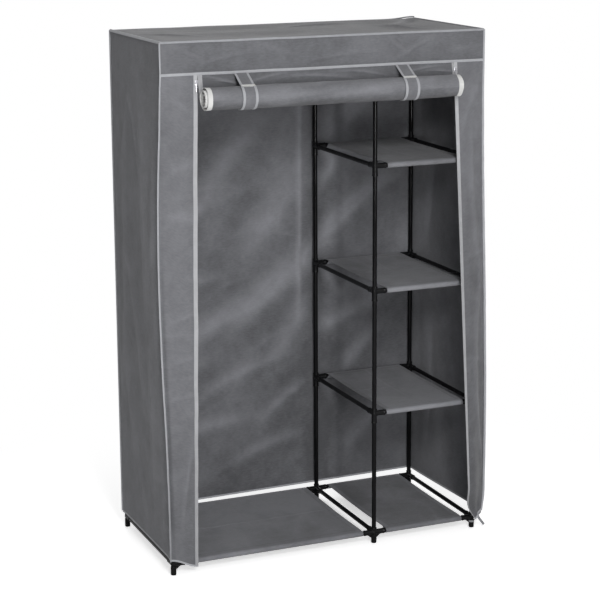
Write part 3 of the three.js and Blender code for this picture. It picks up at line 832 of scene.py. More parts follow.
# Single folds seen in the photo, in metres and degrees. Each is (across, up, angle, length, width, height).
# Across is x, or y on a side panel, and up is z, or y on the top.
FOLDS = {
    "cover_back": (
        (-0.34, 1.08, 22, 0.34, 0.050, 0.011),
        (-0.20, 1.03, 60, 0.26, 0.060, 0.008),
        (0.00, 1.04, 52, 0.30, 0.070, 0.012),
        (0.00, 0.79, 40, 0.36, 0.062, 0.015),
        (-0.16, 1.26, 50, 0.30, 0.060, 0.012),
        (-0.36, 1.38, 66, 0.26, 0.055, 0.010),
        (-0.30, 0.84, 14, 0.26, 0.035, 0.008),
        (0.08, 0.64, 60, 0.28, 0.048, 0.008),
        (-0.22, 0.68, 30, 0.32, 0.050, 0.011),
        (-0.36, 0.54, 12, 0.26, 0.036, 0.008),
        (-0.12, 0.50, 22, 0.32, 0.034, 0.010),
        (0.06, 0.40, 36, 0.26, 0.028, 0.010),
        (-0.24, 0.32, 8, 0.34, 0.032, 0.008),
        (-0.04, 0.22, 18, 0.30, 0.030, 0.008),
        (0.33, 1.42, 48, 0.30, 0.050, 0.014),
        (0.24, 1.22, 58, 0.24, 0.028, 0.010),
        (0.36, 1.10, 34, 0.26, 0.040, 0.013),
        (0.24, 1.00, 44, 0.26, 0.045, 0.013),
        (0.44, 0.80, 60, 0.30, 0.040, 0.012),
        (0.26, 0.66, 22, 0.26, 0.036, 0.010),
        (0.34, 0.54, 48, 0.26, 0.034, 0.010),
        (0.40, 0.28, 40, 0.28, 0.042, 0.010),
        (0.14, 0.91, 62, 0.07, 0.012, 0.0045),
        (0.12, 0.93, 58, 0.06, 0.011, 0.0035),
        (0.06, 0.99, -14, 0.10, 0.011, 0.0035),
        (0.04, 1.05, 78, 0.10, 0.012, 0.0035),
        (-0.05, 1.09, 24, 0.09, 0.011, 0.0030),
        (-0.24, 1.17, 2, 0.22, 0.012, 0.0030),
        (-0.15, 0.83, 18, 0.12, 0.012, 0.0035),
        (-0.02, 0.61, 32, 0.10, 0.012, 0.0030),
        (-0.30, 0.98, -6, 0.18, 0.012, 0.0030),
        (0.22, 0.94, 12, 0.10, 0.012, 0.0040),
        (0.27, 1.28, -22, 0.12, 0.012, 0.0035),
    ),
    "cover_left": (
        (0.02, 1.42, 60, 0.30, 0.014, 0.0045),
        (0.14, 1.40, 112, 0.36, 0.030, 0.0050),
        (-0.08, 1.15, 84, 0.60, 0.040, 0.0065),
        (0.16, 0.96, 96, 0.70, 0.045, 0.0070),
        (0.02, 0.74, 74, 0.55, 0.045, 0.0070),
        (-0.10, 0.48, 92, 0.50, 0.034, 0.0060),
        (0.14, 0.44, 82, 0.45, 0.040, 0.0060),
        (0.04, 0.20, 66, 0.26, 0.026, 0.0045),
    ),
    "cover_right": (
        (0.00, 1.34, 76, 0.50, 0.040, 0.0075),
        (0.16, 1.14, 100, 0.60, 0.042, 0.0080),
        (-0.08, 0.90, 86, 0.60, 0.038, 0.0075),
        (0.06, 0.66, 70, 0.50, 0.042, 0.0085),
        (0.16, 0.40, 94, 0.45, 0.034, 0.0065),
        (-0.08, 0.34, 98, 0.40, 0.030, 0.0070),
    ),
    "cover_top": (
        (0.46, 0.16, 52, 0.26, 0.026, 0.011),
        (0.34, 0.02, 128, 0.20, 0.022, 0.005),
        (0.10, 0.16, 14, 0.34, 0.026, 0.005),
        (-0.22, 0.12, 172, 0.40, 0.024, 0.004),
        (-0.46, 0.02, 140, 0.22, 0.026, 0.005),
    ),
    "cover_valance": (
        (-0.47, 1.694, 152, 0.10, 0.006, 0.0050),
        (-0.36, 1.676, 12, 0.16, 0.009, 0.0040),
        (-0.16, 1.690, 164, 0.22, 0.010, 0.0040),
        (0.04, 1.668, 6, 0.26, 0.010, 0.0040),
        (0.24, 1.694, 140, 0.12, 0.007, 0.0060),
        (0.30, 1.680, 28, 0.14, 0.010, 0.0050),
        (0.46, 1.668, 8, 0.14, 0.010, 0.0035),
    ),
    "flap_left": (
        (-0.50, 0.86, 14, 0.10, 0.010, 0.0055),
        (-0.50, 0.80, -8, 0.11, 0.008, 0.0050),
        (-0.51, 0.72, 12, 0.10, 0.009, 0.0060),
        (-0.50, 0.66, -4, 0.10, 0.008, 0.0045),
        (-0.50, 0.60, 6, 0.10, 0.010, 0.0050),
        (-0.50, 1.34, 24, 0.14, 0.026, 0.0060),
        (-0.50, 1.18, -16, 0.14, 0.022, 0.0050),
        (-0.50, 1.53, -34, 0.12, 0.012, 0.0045),
        (-0.50, 0.34, 80, 0.34, 0.012, 0.0060),
    ),
    "flap_right": (
        (0.50, 1.47, 66, 0.25, 0.013, 0.0030),
        (0.52, 1.15, 95, 0.45, 0.014, 0.0045),
        (0.54, 0.80, 84, 0.45, 0.014, 0.0050),
        (0.54, 0.42, 97, 0.40, 0.013, 0.0065),
        (0.52, 0.98, 14, 0.10, 0.010, 0.0040),
        (0.52, 0.62, -12, 0.10, 0.010, 0.0040),
    ),
    "door_sheet": (
        (-0.385, 1.612, -14, 0.12, 0.006, 0.0045),
        (-0.345, 1.600, -10, 0.10, 0.005, 0.0040),
        (-0.20, 1.612, 10, 0.14, 0.006, 0.0040),
        (-0.05, 1.606, -3, 0.24, 0.008, 0.0040),
        (0.12, 1.610, -8, 0.16, 0.006, 0.0045),
        (0.34, 1.612, 7, 0.14, 0.006, 0.0045),
        (0.40, 1.600, -6, 0.10, 0.006, 0.0040),
    ),
}


def left_relief(y, z):
    """The crumples of hanging cloth, as high as the setting says, and the panel's single folds."""
    return look_of("cover").relief * crumple(y, z, seed=11, lean=78) + folds(y, z, "cover_left")


def right_relief(y, z):
    """As on the left."""
    return look_of("cover").relief * crumple(y, z, seed=23, lean=98) + folds(y, z, "cover_right")


def back_relief(x, z):
    """As on the sides, its crumples a tenth higher."""
    return 1.1 * look_of("cover").relief * crumple(x, z, seed=5, lean=34) + folds(x, z, "cover_back")


def back_pleat(x, z):
    """A narrow upright pleat that leans a little and fades out two thirds of the way down."""
    v = (z - HEM_BACK_Z) / (COVER_EDGE - HEM_BACK_Z)
    at = POST_X["middle"] - 0.062 + 0.012 * v
    return 0.007 * bell(x - at, 0.010) * ease((v - 0.30) * 5) * ease((1 - v) * 12)


def left_panel(u, v):
    """From the front seam back and from the hem up: the seam's stand fades towards the back, and folds lie
    on top. Along the hem the cloth draws in a little."""
    z = mix(HEM_LEFT_Z + LEFT_HEM_RISE + 0.002 * hump(u) ** 0.25, COVER_EDGE, v)
    y = mix(FRONT, BACK, u)
    stand = (left_seam_x(z) - LEFT - CLOTH) * (1 - ease(u))
    fold = 0.004 * hump(u) * hump(v) * np.sin(np.pi * (1.5 * u + 0.9 * v)) ** 2
    relief = 0.9 * left_relief(y, z) * edge_calm(u, v)
    hug = 0.0026 * ease(1 - v / 0.03) * ease(12 * (0.5 - np.abs(u - 0.5)))
    return stack(LEFT + CLOTH + stand - fold - relief + hug, y, z)


def right_panel(u, v):
    """Like the left panel, mirrored, with a fuller front edge low down."""
    z = mix(HEM_RIGHT_Z, COVER_EDGE, v)
    y = mix(FRONT, BACK, u)
    stand = (right_seam_x(z) - RIGHT + CLOTH) * (1 - ease(u))
    fold = 0.004 * hump(u) * hump(v) * np.sin(np.pi * (2 * u + 0.4 * v)) ** 2
    relief = 0.9 * right_relief(y, z) * edge_calm(u, v)
    return stack(RIGHT - CLOTH + stand + fold + relief, y, z)


def back_panel(u, v):
    """Slanting folds that stand out behind the frame, none further than most, with an upright pleat beside
    the middle post."""
    most = 0.022
    z = mix(HEM_BACK_Z + 0.012 * u, COVER_EDGE, v)
    x = mix(LEFT, RIGHT, u)
    fold = 0.004 * np.sin(np.pi * (3 * u + 1.6 * v)) ** 2 * hump(u) * hump(v)
    depth = (fold + back_relief(x, z)) * edge_calm(u, v, 0.07, 0.07)
    depth = most * (1 - np.exp(-depth / most))
    return stack(x, BACK + np.maximum(depth - back_pleat(x, z), 0), z)


def top_panel(u, v):
    """The top sheet sags between the tubes and the rail, and stands up in a few stiff creases."""
    x = mix(LEFT, RIGHT, u)
    y = mix(FRONT - CLOTH, BACK + CLOTH, v)
    start, split, end = POST_X.values()
    bay = np.where(x < split, (x - start) / (split - start), (x - split) / (end - split))
    half = 2 * (y - ROW_Y["front"]) / (ROW_Y["back"] - ROW_Y["front"])
    sag = 0.006 * hump(bay) * hump(half - np.floor(half))
    relief = 0.0045 * crumple(x, y, seed=31, lean=15) * edge_calm(u, v, 0.04, 0.1)
    stiff = folds(x, y, "cover_top") * edge_calm(u, v, 0.03, 0.05)
    return stack(x, y, COVER_TOP - CLOTH - sag + relief + stiff)


def valance_panel(u, v):
    """The band above the door: shallow waves, deepest half way up it, and a few slanting creases."""
    x = mix(LEFT, RIGHT, u)
    z = mix(VALANCE_Z, COVER_EDGE, v)
    wave = 0.002 * hump(v) * np.sin(4 * np.pi * u) ** 2
    relief = 0.005 * crumple(x, z, seed=41, lean=25) + folds(x, z, "cover_valance")
    return stack(x, FRONT - wave - relief * edge_calm(u, v, 0.03, 0.35), z)


def left_zip_x(z):
    """A straight line that comes nearer to the corner by the drift on its way down, with a small sway."""
    sway = wobble(z, seed=139, reach=0.0022) * ease((ZIP_TOP_Z - z) * 6)
    return LEFT + CLOTH + LEFT_FLAP - LEFT_DRIFT * (ZIP_TOP_Z - z) / (ZIP_TOP_Z - LEFT_ZIP_END) + sway


def right_zip_share(z):
    """The share of the zip's run that lies above z, and more than one below the run."""
    return (ZIP_TOP_Z - z) / (ZIP_TOP_Z - RIGHT_ZIP_END)


def right_zip_x(z):
    """A straight line down to the end of the run, and a bend towards the tie below it."""
    below = np.maximum(0, (RIGHT_ZIP_END - z) / (RIGHT_ZIP_END - HEM_LEFT_Z))
    return RIGHT - CLOTH - RIGHT_FLAP + RIGHT_DRIFT * right_zip_share(z) + RIGHT_TUCK * below**2


def flap(u, v, node, seam, zip_x, zip_y, hem_z, dip, seed):
    """From the corner seam to the zip edge: a shallow groove beside the seam, then nearly level creases,
    then a flat band for the zip."""
    z = mix(hem_z - dip * ease(u), VALANCE_Z - SEAM_GAP, v)
    width = np.abs(zip_x(z) - seam(z))
    flat = np.clip(u / (1 - ZIP_BAND / width), 0, 1)
    x = mix(seam(z), zip_x(z), u)
    relief = look_of("cover").relief * 0.35 * crumple(x, z, seed, lean=84) + folds(x, z, node)
    level = creases(x, z, angle=4, long=0.12, wide=0.030, seed=seed + 9, sharp=3)
    relief = relief + 0.002 * level * hump((z - 0.25) / 0.9)
    groove = 0.0050 * bell(flat - 0.07, 0.05) * ease(v * 10) * ease((1 - v) * 6) * (1 - v) ** 0.5
    return stack(x, mix(FRONT, zip_y(z), ease(flat)) - relief * edge_calm(flat, v, 0.25, 0.04) + groove, z)


def gathered(z):
    """How far the tie draws the right flap in: nought from the end of the zip's run up, one at the hem."""
    return ease((RIGHT_ZIP_END - z) / (RIGHT_ZIP_END - HEM_RIGHT_Z))


def left_flap(u, v):
    """It hangs straight down in the plane of the front."""
    seam = lambda z: left_seam_x(z) - CLOTH
    straight = lambda z: FRONT + 0 * z
    hem_z = HEM_LEFT_Z + LEFT_HEM_RISE
    return flap(u, v, "flap_left", seam, left_zip_x, straight, hem_z, LEFT_DIP + LEFT_HEM_RISE, seed=51)


def right_flap(u, v):
    """Its loose edge swings forward on the way down, and the tie gathers its low end into small waves."""
    seam = lambda z: right_seam_x(z) + CLOTH
    loose = lambda z: FRONT - FLAP_START - RIGHT_SWING * right_zip_share(z) * (1 - 0.84 * gathered(z))
    points = flap(u, v, "flap_right", seam, right_zip_x, loose, HEM_RIGHT_Z, RIGHT_DIP, seed=61)
    points[..., 1] -= 0.004 * gathered(points[..., 2]) * np.sin(2.5 * np.pi * u) ** 2 * ease((1 - u) * 6)
    return points


# Painted light and shade on each panel's cloth: lighter up to 1, darker down to -1
def left_tone(x, y, z):
    """Painted shade of the folds: the relief less its middle height, as a share of its reach, so ridges are
    lighter and hollows darker.
    """
    return (left_relief(y, z) - 0.010) / 0.020


def right_tone(x, y, z):
    """Painted shade of the folds, as on the left."""
    return (right_relief(y, z) - 0.010) / 0.022


def back_tone(x, y, z):
    """Painted shade of the folds, ridges and the pleat lighter and hollows darker, painted light high up, and
    a
    painted shadow of the middle post: a dark stripe behind it.
    """
    shaded = 0.9 * bell(x - POST_X["middle"] - 0.01, 0.04)
    ridges = (back_relief(x, z) - 0.0145) / 0.0085 + back_pleat(x, z) / 0.006
    return ridges + 0.3 + 0.2 * ease((z - 0.5) / 0.9) - shaded


def top_tone(x, y, z):
    """Painted shade all over, with painted highlights on its stiff creases."""
    return folds(x, y, "cover_top") / 0.016 - 1.0


def valance_tone(x, y, z):
    """A little darker all over as painted shade, with painted highlights on its creases."""
    return folds(x, z, "cover_valance") / 0.010 - 0.55


def left_flap_tone(x, y, z):
    """Painted highlights on its folds, painted shade on the low end, and a painted shadow as a dark line in
    the groove beside the seam.
    """
    groove = bell(x - left_seam_x(z) - 0.009, 0.005) * ease(2 * (1.25 - z))
    return folds(x, z, "flap_left") / 0.009 - 0.05 - 0.5 * ease(1 - z / 0.7) - 0.9 * groove


def right_flap_tone(x, y, z):
    """Painted highlights on its folds, and painted shade growing towards its low end."""
    return folds(x, z, "flap_right") / 0.010 - 0.1 - 0.6 * (1.6 - z)


PANELS = {
    # name: (function, rows, columns, thickness along the grid's normal, finish, tone)
    "cover_left": (left_panel, 230, 90, -CLOTH, "cover_cloth", left_tone),
    "cover_right": (right_panel, 230, 90, CLOTH, "cover_cloth", right_tone),
    "cover_back": (back_panel, 220, 150, -CLOTH, "worn_cloth", back_tone),
    "cover_top": (top_panel, 70, 140, CLOTH, "worn_cloth", top_tone),
    "cover_valance": (valance_panel, 26, 200, CLOTH, "cover_cloth", valance_tone),
    "flap_left": (left_flap, 220, 34, CLOTH, "cover_cloth", left_flap_tone),
    "flap_right": (right_flap, 220, 40, -CLOTH, "worn_cloth", right_flap_tone),
}


class BuildCover(bpy.types.Operator):
    """Builds the seven cloth panels of the cover"""

    bl_idname = "wardrobe.cover"
    bl_label = "Cover"

    def execute(self, context):
        for node, (panel, rows, columns, thickness, finish, tone) in PANELS.items():
            points = panel(*share_grid(rows, columns))
            piece = Surface().layer(points, 0, thickness).build(
                f"{node}_cloth", finish_of(finish), replaces=[node], slot="cloth", sharp=60, tone=tone
            )
        return {"FINISHED"}


def edge_strip(node, u_range, v_range, rows, columns, lift):
    """A binding folded over a panel's edge: a part of the panel, thicker than the cloth by lift each way."""
    panel, _, _, thickness, *_ = PANELS[node]
    u, v = share_grid(rows, columns)
    out = math.copysign(lift, thickness)
    return Surface().layer(panel(mix(*u_range, u), mix(*v_range, v)), out, thickness + out)


# Painted light (up to 1) and painted shade (down to -1) on bindings and tapes
BINDING_TONES = {
    "seam_binding_front_left": lambda x, y, z: mix(-0.9, 0.4, ease((z - 0.05) / 0.55)),
    "top_binding_front": lambda x, y, z: -0.32 + 0 * z,
    "valance_binding": lambda x, y, z: 0.15 + 0 * z,
    "zip_tape_left": lambda x, y, z: 0.7 * ease((z - 0.2) / 0.5),
    "zip_tape_right": lambda x, y, z: 0.9 * ease((z - 1.15) / 0.25),
}


class BuildTrims(bpy.types.Operator):
    """Builds the seam bindings, the hems and the zip tapes with their coils"""

    bl_idname = "wardrobe.trims"
    bl_label = "Bindings and zips"

    def execute(self, context):
        look = look_of("cover")
        self.seams(look)
        self.hems(look)
        self.zips()
        return {"FINISHED"}

    def seams(self, look):
        """Bindings that stand out of the seams as narrow bands: a path each, and where its width points."""
        # How far a binding's middle lies off the seam: at the sides, at the front and back, and along the top
        side, face, brim = 0.0008, 0.0012, 0.0016
        z_left = np.linspace(HEM_LEFT_Z + LEFT_HEM_RISE - 0.002, COVER_TOP, 240)
        z_right = np.linspace(HEM_RIGHT_Z - 0.002, COVER_TOP, 240)
        z_back = np.linspace(HEM_BACK_Z + 0.004, COVER_TOP, 120)
        x = np.linspace(LEFT - 0.002, RIGHT + 0.002, 220)
        y = np.linspace(FRONT - 0.002, BACK + 0.002, 90)
        wave = 0.0012 * (value_noise(x * 9, x * 0, 71) - 0.5)
        peak = 0.007 * bell(x - RIGHT + 0.012, 0.05)
        left = stack(left_seam_x(z_left) - CLOTH - side, FRONT - face, z_left)
        right = stack(right_seam_x(z_right) + CLOTH + side, FRONT - face, z_right)
        runs = {
            "seam_binding_front_left": (left, (-0.85, -0.5, 0)),
            "seam_binding_front_right": (right, (0.85, -0.5, 0)),
            "seam_binding_back_left": (stack(LEFT - side, BACK + face, z_back), (-0.7, 0.7, 0)),
            "seam_binding_back_right": (stack(RIGHT + side, BACK + face, z_back), (0.7, 0.7, 0)),
            "top_binding_front": (stack(x, FRONT - brim, COVER_TOP + 0.0002 + wave), (0, 0.5, 0.87)),
            "top_binding_back": (stack(x, BACK + brim, COVER_TOP - 0.0010 + wave + peak), (0, -0.8, 0.6)),
            "top_binding_left": (stack(LEFT - 0.0014, y, COVER_TOP + 0.0003), (0.6, 0, 0.8)),
            "top_binding_right": (stack(RIGHT + 0.0014, y, COVER_TOP + 0.0003), (-0.6, 0, 0.8)),
            "valance_binding": (stack(x, FRONT - CLOTH - face, VALANCE_Z + 0.0015 + wave), (0, -0.15, 1)),
        }
        wider = {"valance_binding": 1.2, "top_binding_left": 1.3}
        for name, (path, across) in runs.items():
            surface = Surface().band(path, across, look.piping * wider.get(name, 1.0), 0.0022)
            surface.build(name, finish_of("seam_binding"), slot="binding", tone=BINDING_TONES.get(name))

    def hems(self, look):
        """Bound lower edges of the side and back panels and of the flaps."""
        rise = look.hem / (COVER_EDGE - HEM_LEFT_Z)
        for node, (_, _, columns, *_) in PANELS.items():
            if node not in ("cover_top", "cover_valance"):
                surface = edge_strip(node, (0, 1), (-0.0004, rise), rows=5, columns=2 * columns, lift=0.0005)
                surface.build(f"{node}_hem", finish_of("seam_binding"), slot="binding")

    def zips(self):
        """A flat tape along the loose edge of each flap, with the zip's coil on its edge. It takes low_share
        of the zip's band at its low end, and high_share of it at the top."""
        rows, high_share = 260, 0.85
        for side, flap_width, low_share in (("left", LEFT_FLAP, 0.92), ("right", RIGHT_FLAP, 0.5)):
            share = mix(low_share, high_share, ease(np.linspace(0, 1.1, rows)))[:, None]
            inner = 1 - ZIP_BAND / flap_width * share
            surface = edge_strip(f"flap_{side}", (inner, 1.004), (0.0, 1.0), rows, columns=9, lift=0.0004)
            name = f"zip_tape_{side}"
            surface.build(name, finish_of("zip_tape"), slot="binding", tone=BINDING_TONES[name])
            self.coil(side)

    def coil(self, side):
        """A helix along the edge of a flap, three points to a turn, as flat as a zip's coil is."""
        spots, inset, half_width, half_height, wire = 900, 0.0009, 0.0005, 0.00085, 0.0006
        panel, _, _, thickness, *_ = PANELS[f"flap_{side}"]
        rim = panel(*np.meshgrid((0.985, 1.0), np.linspace(0.004, 0.975, spots)))
        out = unit(rim[:, 1] - rim[:, 0])
        n = normals(rim)[:, 1]
        phase = np.arange(spots)[:, None] * (2 * np.pi / 3)
        middle = rim[:, 1] + n * thickness / 2 - out * inset
        path = middle + out * half_width * np.cos(phase) + n * half_height * np.sin(phase)
        surface = Surface().band(path, (0, 0, 1), wire, wire, corners=5, square=2.0)
        surface.build(f"zip_coil_{side}", finish_of("zip_tape"), slot="binding")


# Shelves
# Points of a shelf's path: on the way up to a tube, round a tube, and between the tubes
LEAD_STEPS = 7
TURN_STEPS = 26
WEB_STEPS = 188


def shelf_path():
    """The cloth's way round: from its seam under the front tube, over both tubes, to its seam under the rear
    one."""
    r = TUBE_R + 0.0004 + CLOTH / 2
    seam, rise = 0.020, r * 1.75
    front, back = ROW_Y["front"], ROW_Y["back"]
    turn = np.linspace(0, 1, TURN_STEPS)
    front_turn = np.pi * mix(1.5, 0.5, turn)
    back_turn = np.pi * mix(0.5, -0.5, turn)
    web = np.linspace(0, 1, WEB_STEPS + 2)[1:-1]
    lead = np.linspace(0, 1, LEAD_STEPS + 1)[:-1]
    y = [
        mix(front + seam, front, lead), front + r * np.cos(front_turn), mix(front, back, web),
        back + r * np.cos(back_turn), mix(back, back - seam, lead[1:]),
    ]
    z = [
        -r + rise * (1 - ease(lead)), r * np.sin(front_turn), np.full_like(web, r),
        r * np.sin(back_turn), -r + rise * ease(lead[1:]),
    ]
    return np.concatenate(y), np.concatenate(z)


def shelf_marks(x, y, x0, x1):
    """Pressed lines: a stitched line beside each tube, and the folds it was packed in, one each way."""
    near = np.minimum(y - ROW_Y["front"], ROW_Y["back"] - y)
    stitched = bell(near - 0.021, 0.0022)
    packed = bell(y - mix(ROW_Y["front"], ROW_Y["back"], 0.52), 0.003)
    return stitched, packed + bell(x - mix(x0, x1, 0.5), 0.003) * (near > 0.02)


def shelf_cloth(x0, x1, z0, seed, columns):
    """The path carried along the width. The web between the tubes sags, most in its middle, and creases."""
    y, z = (part[:, None] for part in shelf_path())
    u = np.linspace(0, 1, columns)[None, :]
    x = mix(x0, x1, u)
    depth = np.clip((y - ROW_Y["front"]) / (ROW_Y["back"] - ROW_Y["front"]), 0, 1)
    on_top = ease((z - TUBE_R * 0.9) / 0.001)
    web = on_top * hump(depth) ** 0.6
    sag = (0.0035 + 0.0025 * hump(u)) * web
    calm = 0.35 + 0.65 * ease(np.minimum(u, 1 - u) / 0.1)
    relief = 0.009 * (crumple(x, y, seed, lean=78) - 0.40) * web * calm
    stitched, packed = shelf_marks(x, y, x0, x1)
    return stack(x, y, z0 + z - sag + relief + on_top * (0.0014 * packed - 0.0011 * stitched))


def shelf_tone(x, y, x0, x1, seed, painted_shade, packed_share):
    """Painted light or shade over the whole shelf, ridges lighter and hollows darker as painted shade,
    lighter packed folds and creases, and darker stitched lines.
    """
    stitched, packed = shelf_marks(x, y, x0, x1)
    return painted_shade + packed_share * packed - 0.9 * stitched + 5.5 * (crumple(x, y, seed, lean=78) - 0.45)


# How much lighter or darker each shelf's cloth is painted, as painted light or shade from -1 to 1, and how
# much lighter its packed folds are drawn
SHELF_PAINTED_SHADE = {
    "floor_shelf_left": (0.35, 0.1),
    "floor_shelf_right": (-0.9, 0.1),
    "shelf_low": (0.7, 1.0),
    "shelf_mid": (0.3, 1.0),
    "shelf_high": (0.0, 1.0),
}


class BuildShelves(bpy.types.Operator):
    """Builds the two floor shelves and the three shelves of the right bay, with their side hems"""

    bl_idname = "wardrobe.shelves"
    bl_label = "Shelves"

    def execute(self, context):
        for k, node in enumerate(SHELF_PAINTED_SHADE):
            self.shelf(node, seed=80 + 7 * k)
        return {"FINISHED"}

    def shelf(self, node, seed):
        """One shelf's cloth, on the tubes that it goes round, and its side hems."""
        low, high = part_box(node)
        place = node.removeprefix("floor_").removeprefix("shelf_")
        columns = 130 if place == "left" else 70
        points = shelf_cloth(low.x, high.x, LEVEL_Z.get(place, BASE_Z), seed, columns)
        piece = Surface().layer(points).build(
            f"{node}_cloth", finish_of("shelf_cloth"), replaces=[node], slot="cloth", sharp=60,
            tone=lambda x, y, z: shelf_tone(x, y, low.x, high.x, seed, *SHELF_PAINTED_SHADE[node]),
        )
        self.side_hems(node, points)

    def side_hems(self, node, points):
        """The turned-under side edges, as a second layer on the web."""
        wide = max(2, round(0.018 / np.linalg.norm(points[0, 1] - points[0, 0])))
        clear = LEAD_STEPS + TURN_STEPS + 3
        n = normals(points)
        surface = Surface()
        for part in (slice(0, wide + 1), slice(-wide - 1, None)):
            strip, up = points[clear:-clear, part], n[clear:-clear, part]
            up = up * np.sign(np.mean(up[..., 2]))
            surface.shell(strip + up * (CLOTH / 2 + 0.0001), strip + up * (CLOTH / 2 + 0.0009))
        surface.build(f"{node}_side_hems", finish_of("shelf_cloth"), slot="cloth", sharp=60)


# Door
def roll_surface(columns, x0, x1, slack):
    """A spiral strip: the radius falls by one pitch a turn, and every turn shares the same small unevenness.
    Its turns hold the cloth that would hang down to the door's hem."""
    steps = 44
    core = math.sqrt(ROLL_R**2 - (ROLL_Z - DOOR_HEM_Z) * ROLL_PITCH / math.pi)
    turns = (ROLL_R - core) / ROLL_PITCH
    turn = np.linspace(0, turns, round(turns * steps))[:, None]
    x = np.linspace(x0, x1, columns)[None, :]
    angle = -2 * np.pi * turn
    broad = value_noise(x * 14, 3 + np.cos(angle) * 1.5, 91)
    narrow = value_noise(x * 31, 5 + np.sin(angle) * 2, 92)
    uneven = np.minimum(slack * (broad + narrow - 1.3), 0)
    radius = ROLL_R - CLOTH / 2 - ROLL_PITCH * turn + uneven
    return stack(x, ROLL_Y + radius * np.cos(angle), ROLL_Z + radius * np.sin(angle))


def roll_tone(x, y, z):
    """Painted light on top and painted shade underneath, with soft slanting patches drawn lighter and darker
    as painted highlights and shade.
    """
    angle = np.arctan2(z - ROLL_Z, y - ROLL_Y)
    patches = value_noise(x * 9 + 1.4 * angle, angle * 1.3 + 7, 93) - 0.5
    return 0.15 + 1.0 * patches - 1.0 * ease(-1.2 * np.sin(angle))


def door_sheet_surface(u, v):
    """From the back of the roll up to the valance: it leaves the roll upright and slants back to the seam."""
    y = mix(SHEET_LOW.y, FRONT - CLOTH, ease(v)) + CLOTH / 2
    x = mix(SHEET_LOW.x, SHEET_HIGH.x, u)
    z = mix(ROLL_Z, VALANCE_Z - SEAM_GAP, v)
    relief = 0.0025 * crumple(x * 1.5, v * 0.2, seed=95, lean=10) + folds(x, z, "door_sheet")
    return stack(x, y - relief * hump(v) ** 0.5, z)


def round_roll(radius, start, stop, count):
    """Places (y, z) on an arc round the roll's middle, between two angles in half turns."""
    turn = np.pi * np.linspace(start, stop, count)
    return [(ROLL_Y + radius * math.cos(a), ROLL_Z + radius * math.sin(a)) for a in turn]


def flat_route(x, places, passes, steps):
    """A rounded path in the plane at x, through places (y, z)."""
    line = rounded(places, passes, steps)
    return stack(x, line[:, 0], line[:, 1])


def strap_route(x):
    """From the tab's bar down over the front of the roll, under it, and up behind the door sheet."""
    gap = 0.0006
    tail = [(FRONT + gap, ROLL_Z), (FRONT + gap, VALANCE_Z - 0.0012)]
    return flat_route(x, [*round_roll(ROLL_R + 2 * gap, 0.64, 1.8, 60), *tail], passes=3, steps=200)


def tab_route(x):
    """Slanting forward from the valance seam, and lying on the strap where it meets the roll."""
    top = (FRONT - 0.0045, VALANCE_Z - 0.0025)
    return flat_route(x, [top, *round_roll(ROLL_R + 0.0030, 0.56, 0.67, 8)], passes=4, steps=40)


# How deep the end of the roll lies, in metres, at shares of the way from its outside to its core
ROLL_END = (
    (0.00, 0.006), (0.15, 0.007), (0.19, 0.020), (0.33, 0.020), (0.37, 0.001), (0.55, 0.000), (0.60, 0.014),
    (0.72, 0.014), (0.76, 0.002), (1.00, 0.004),
)


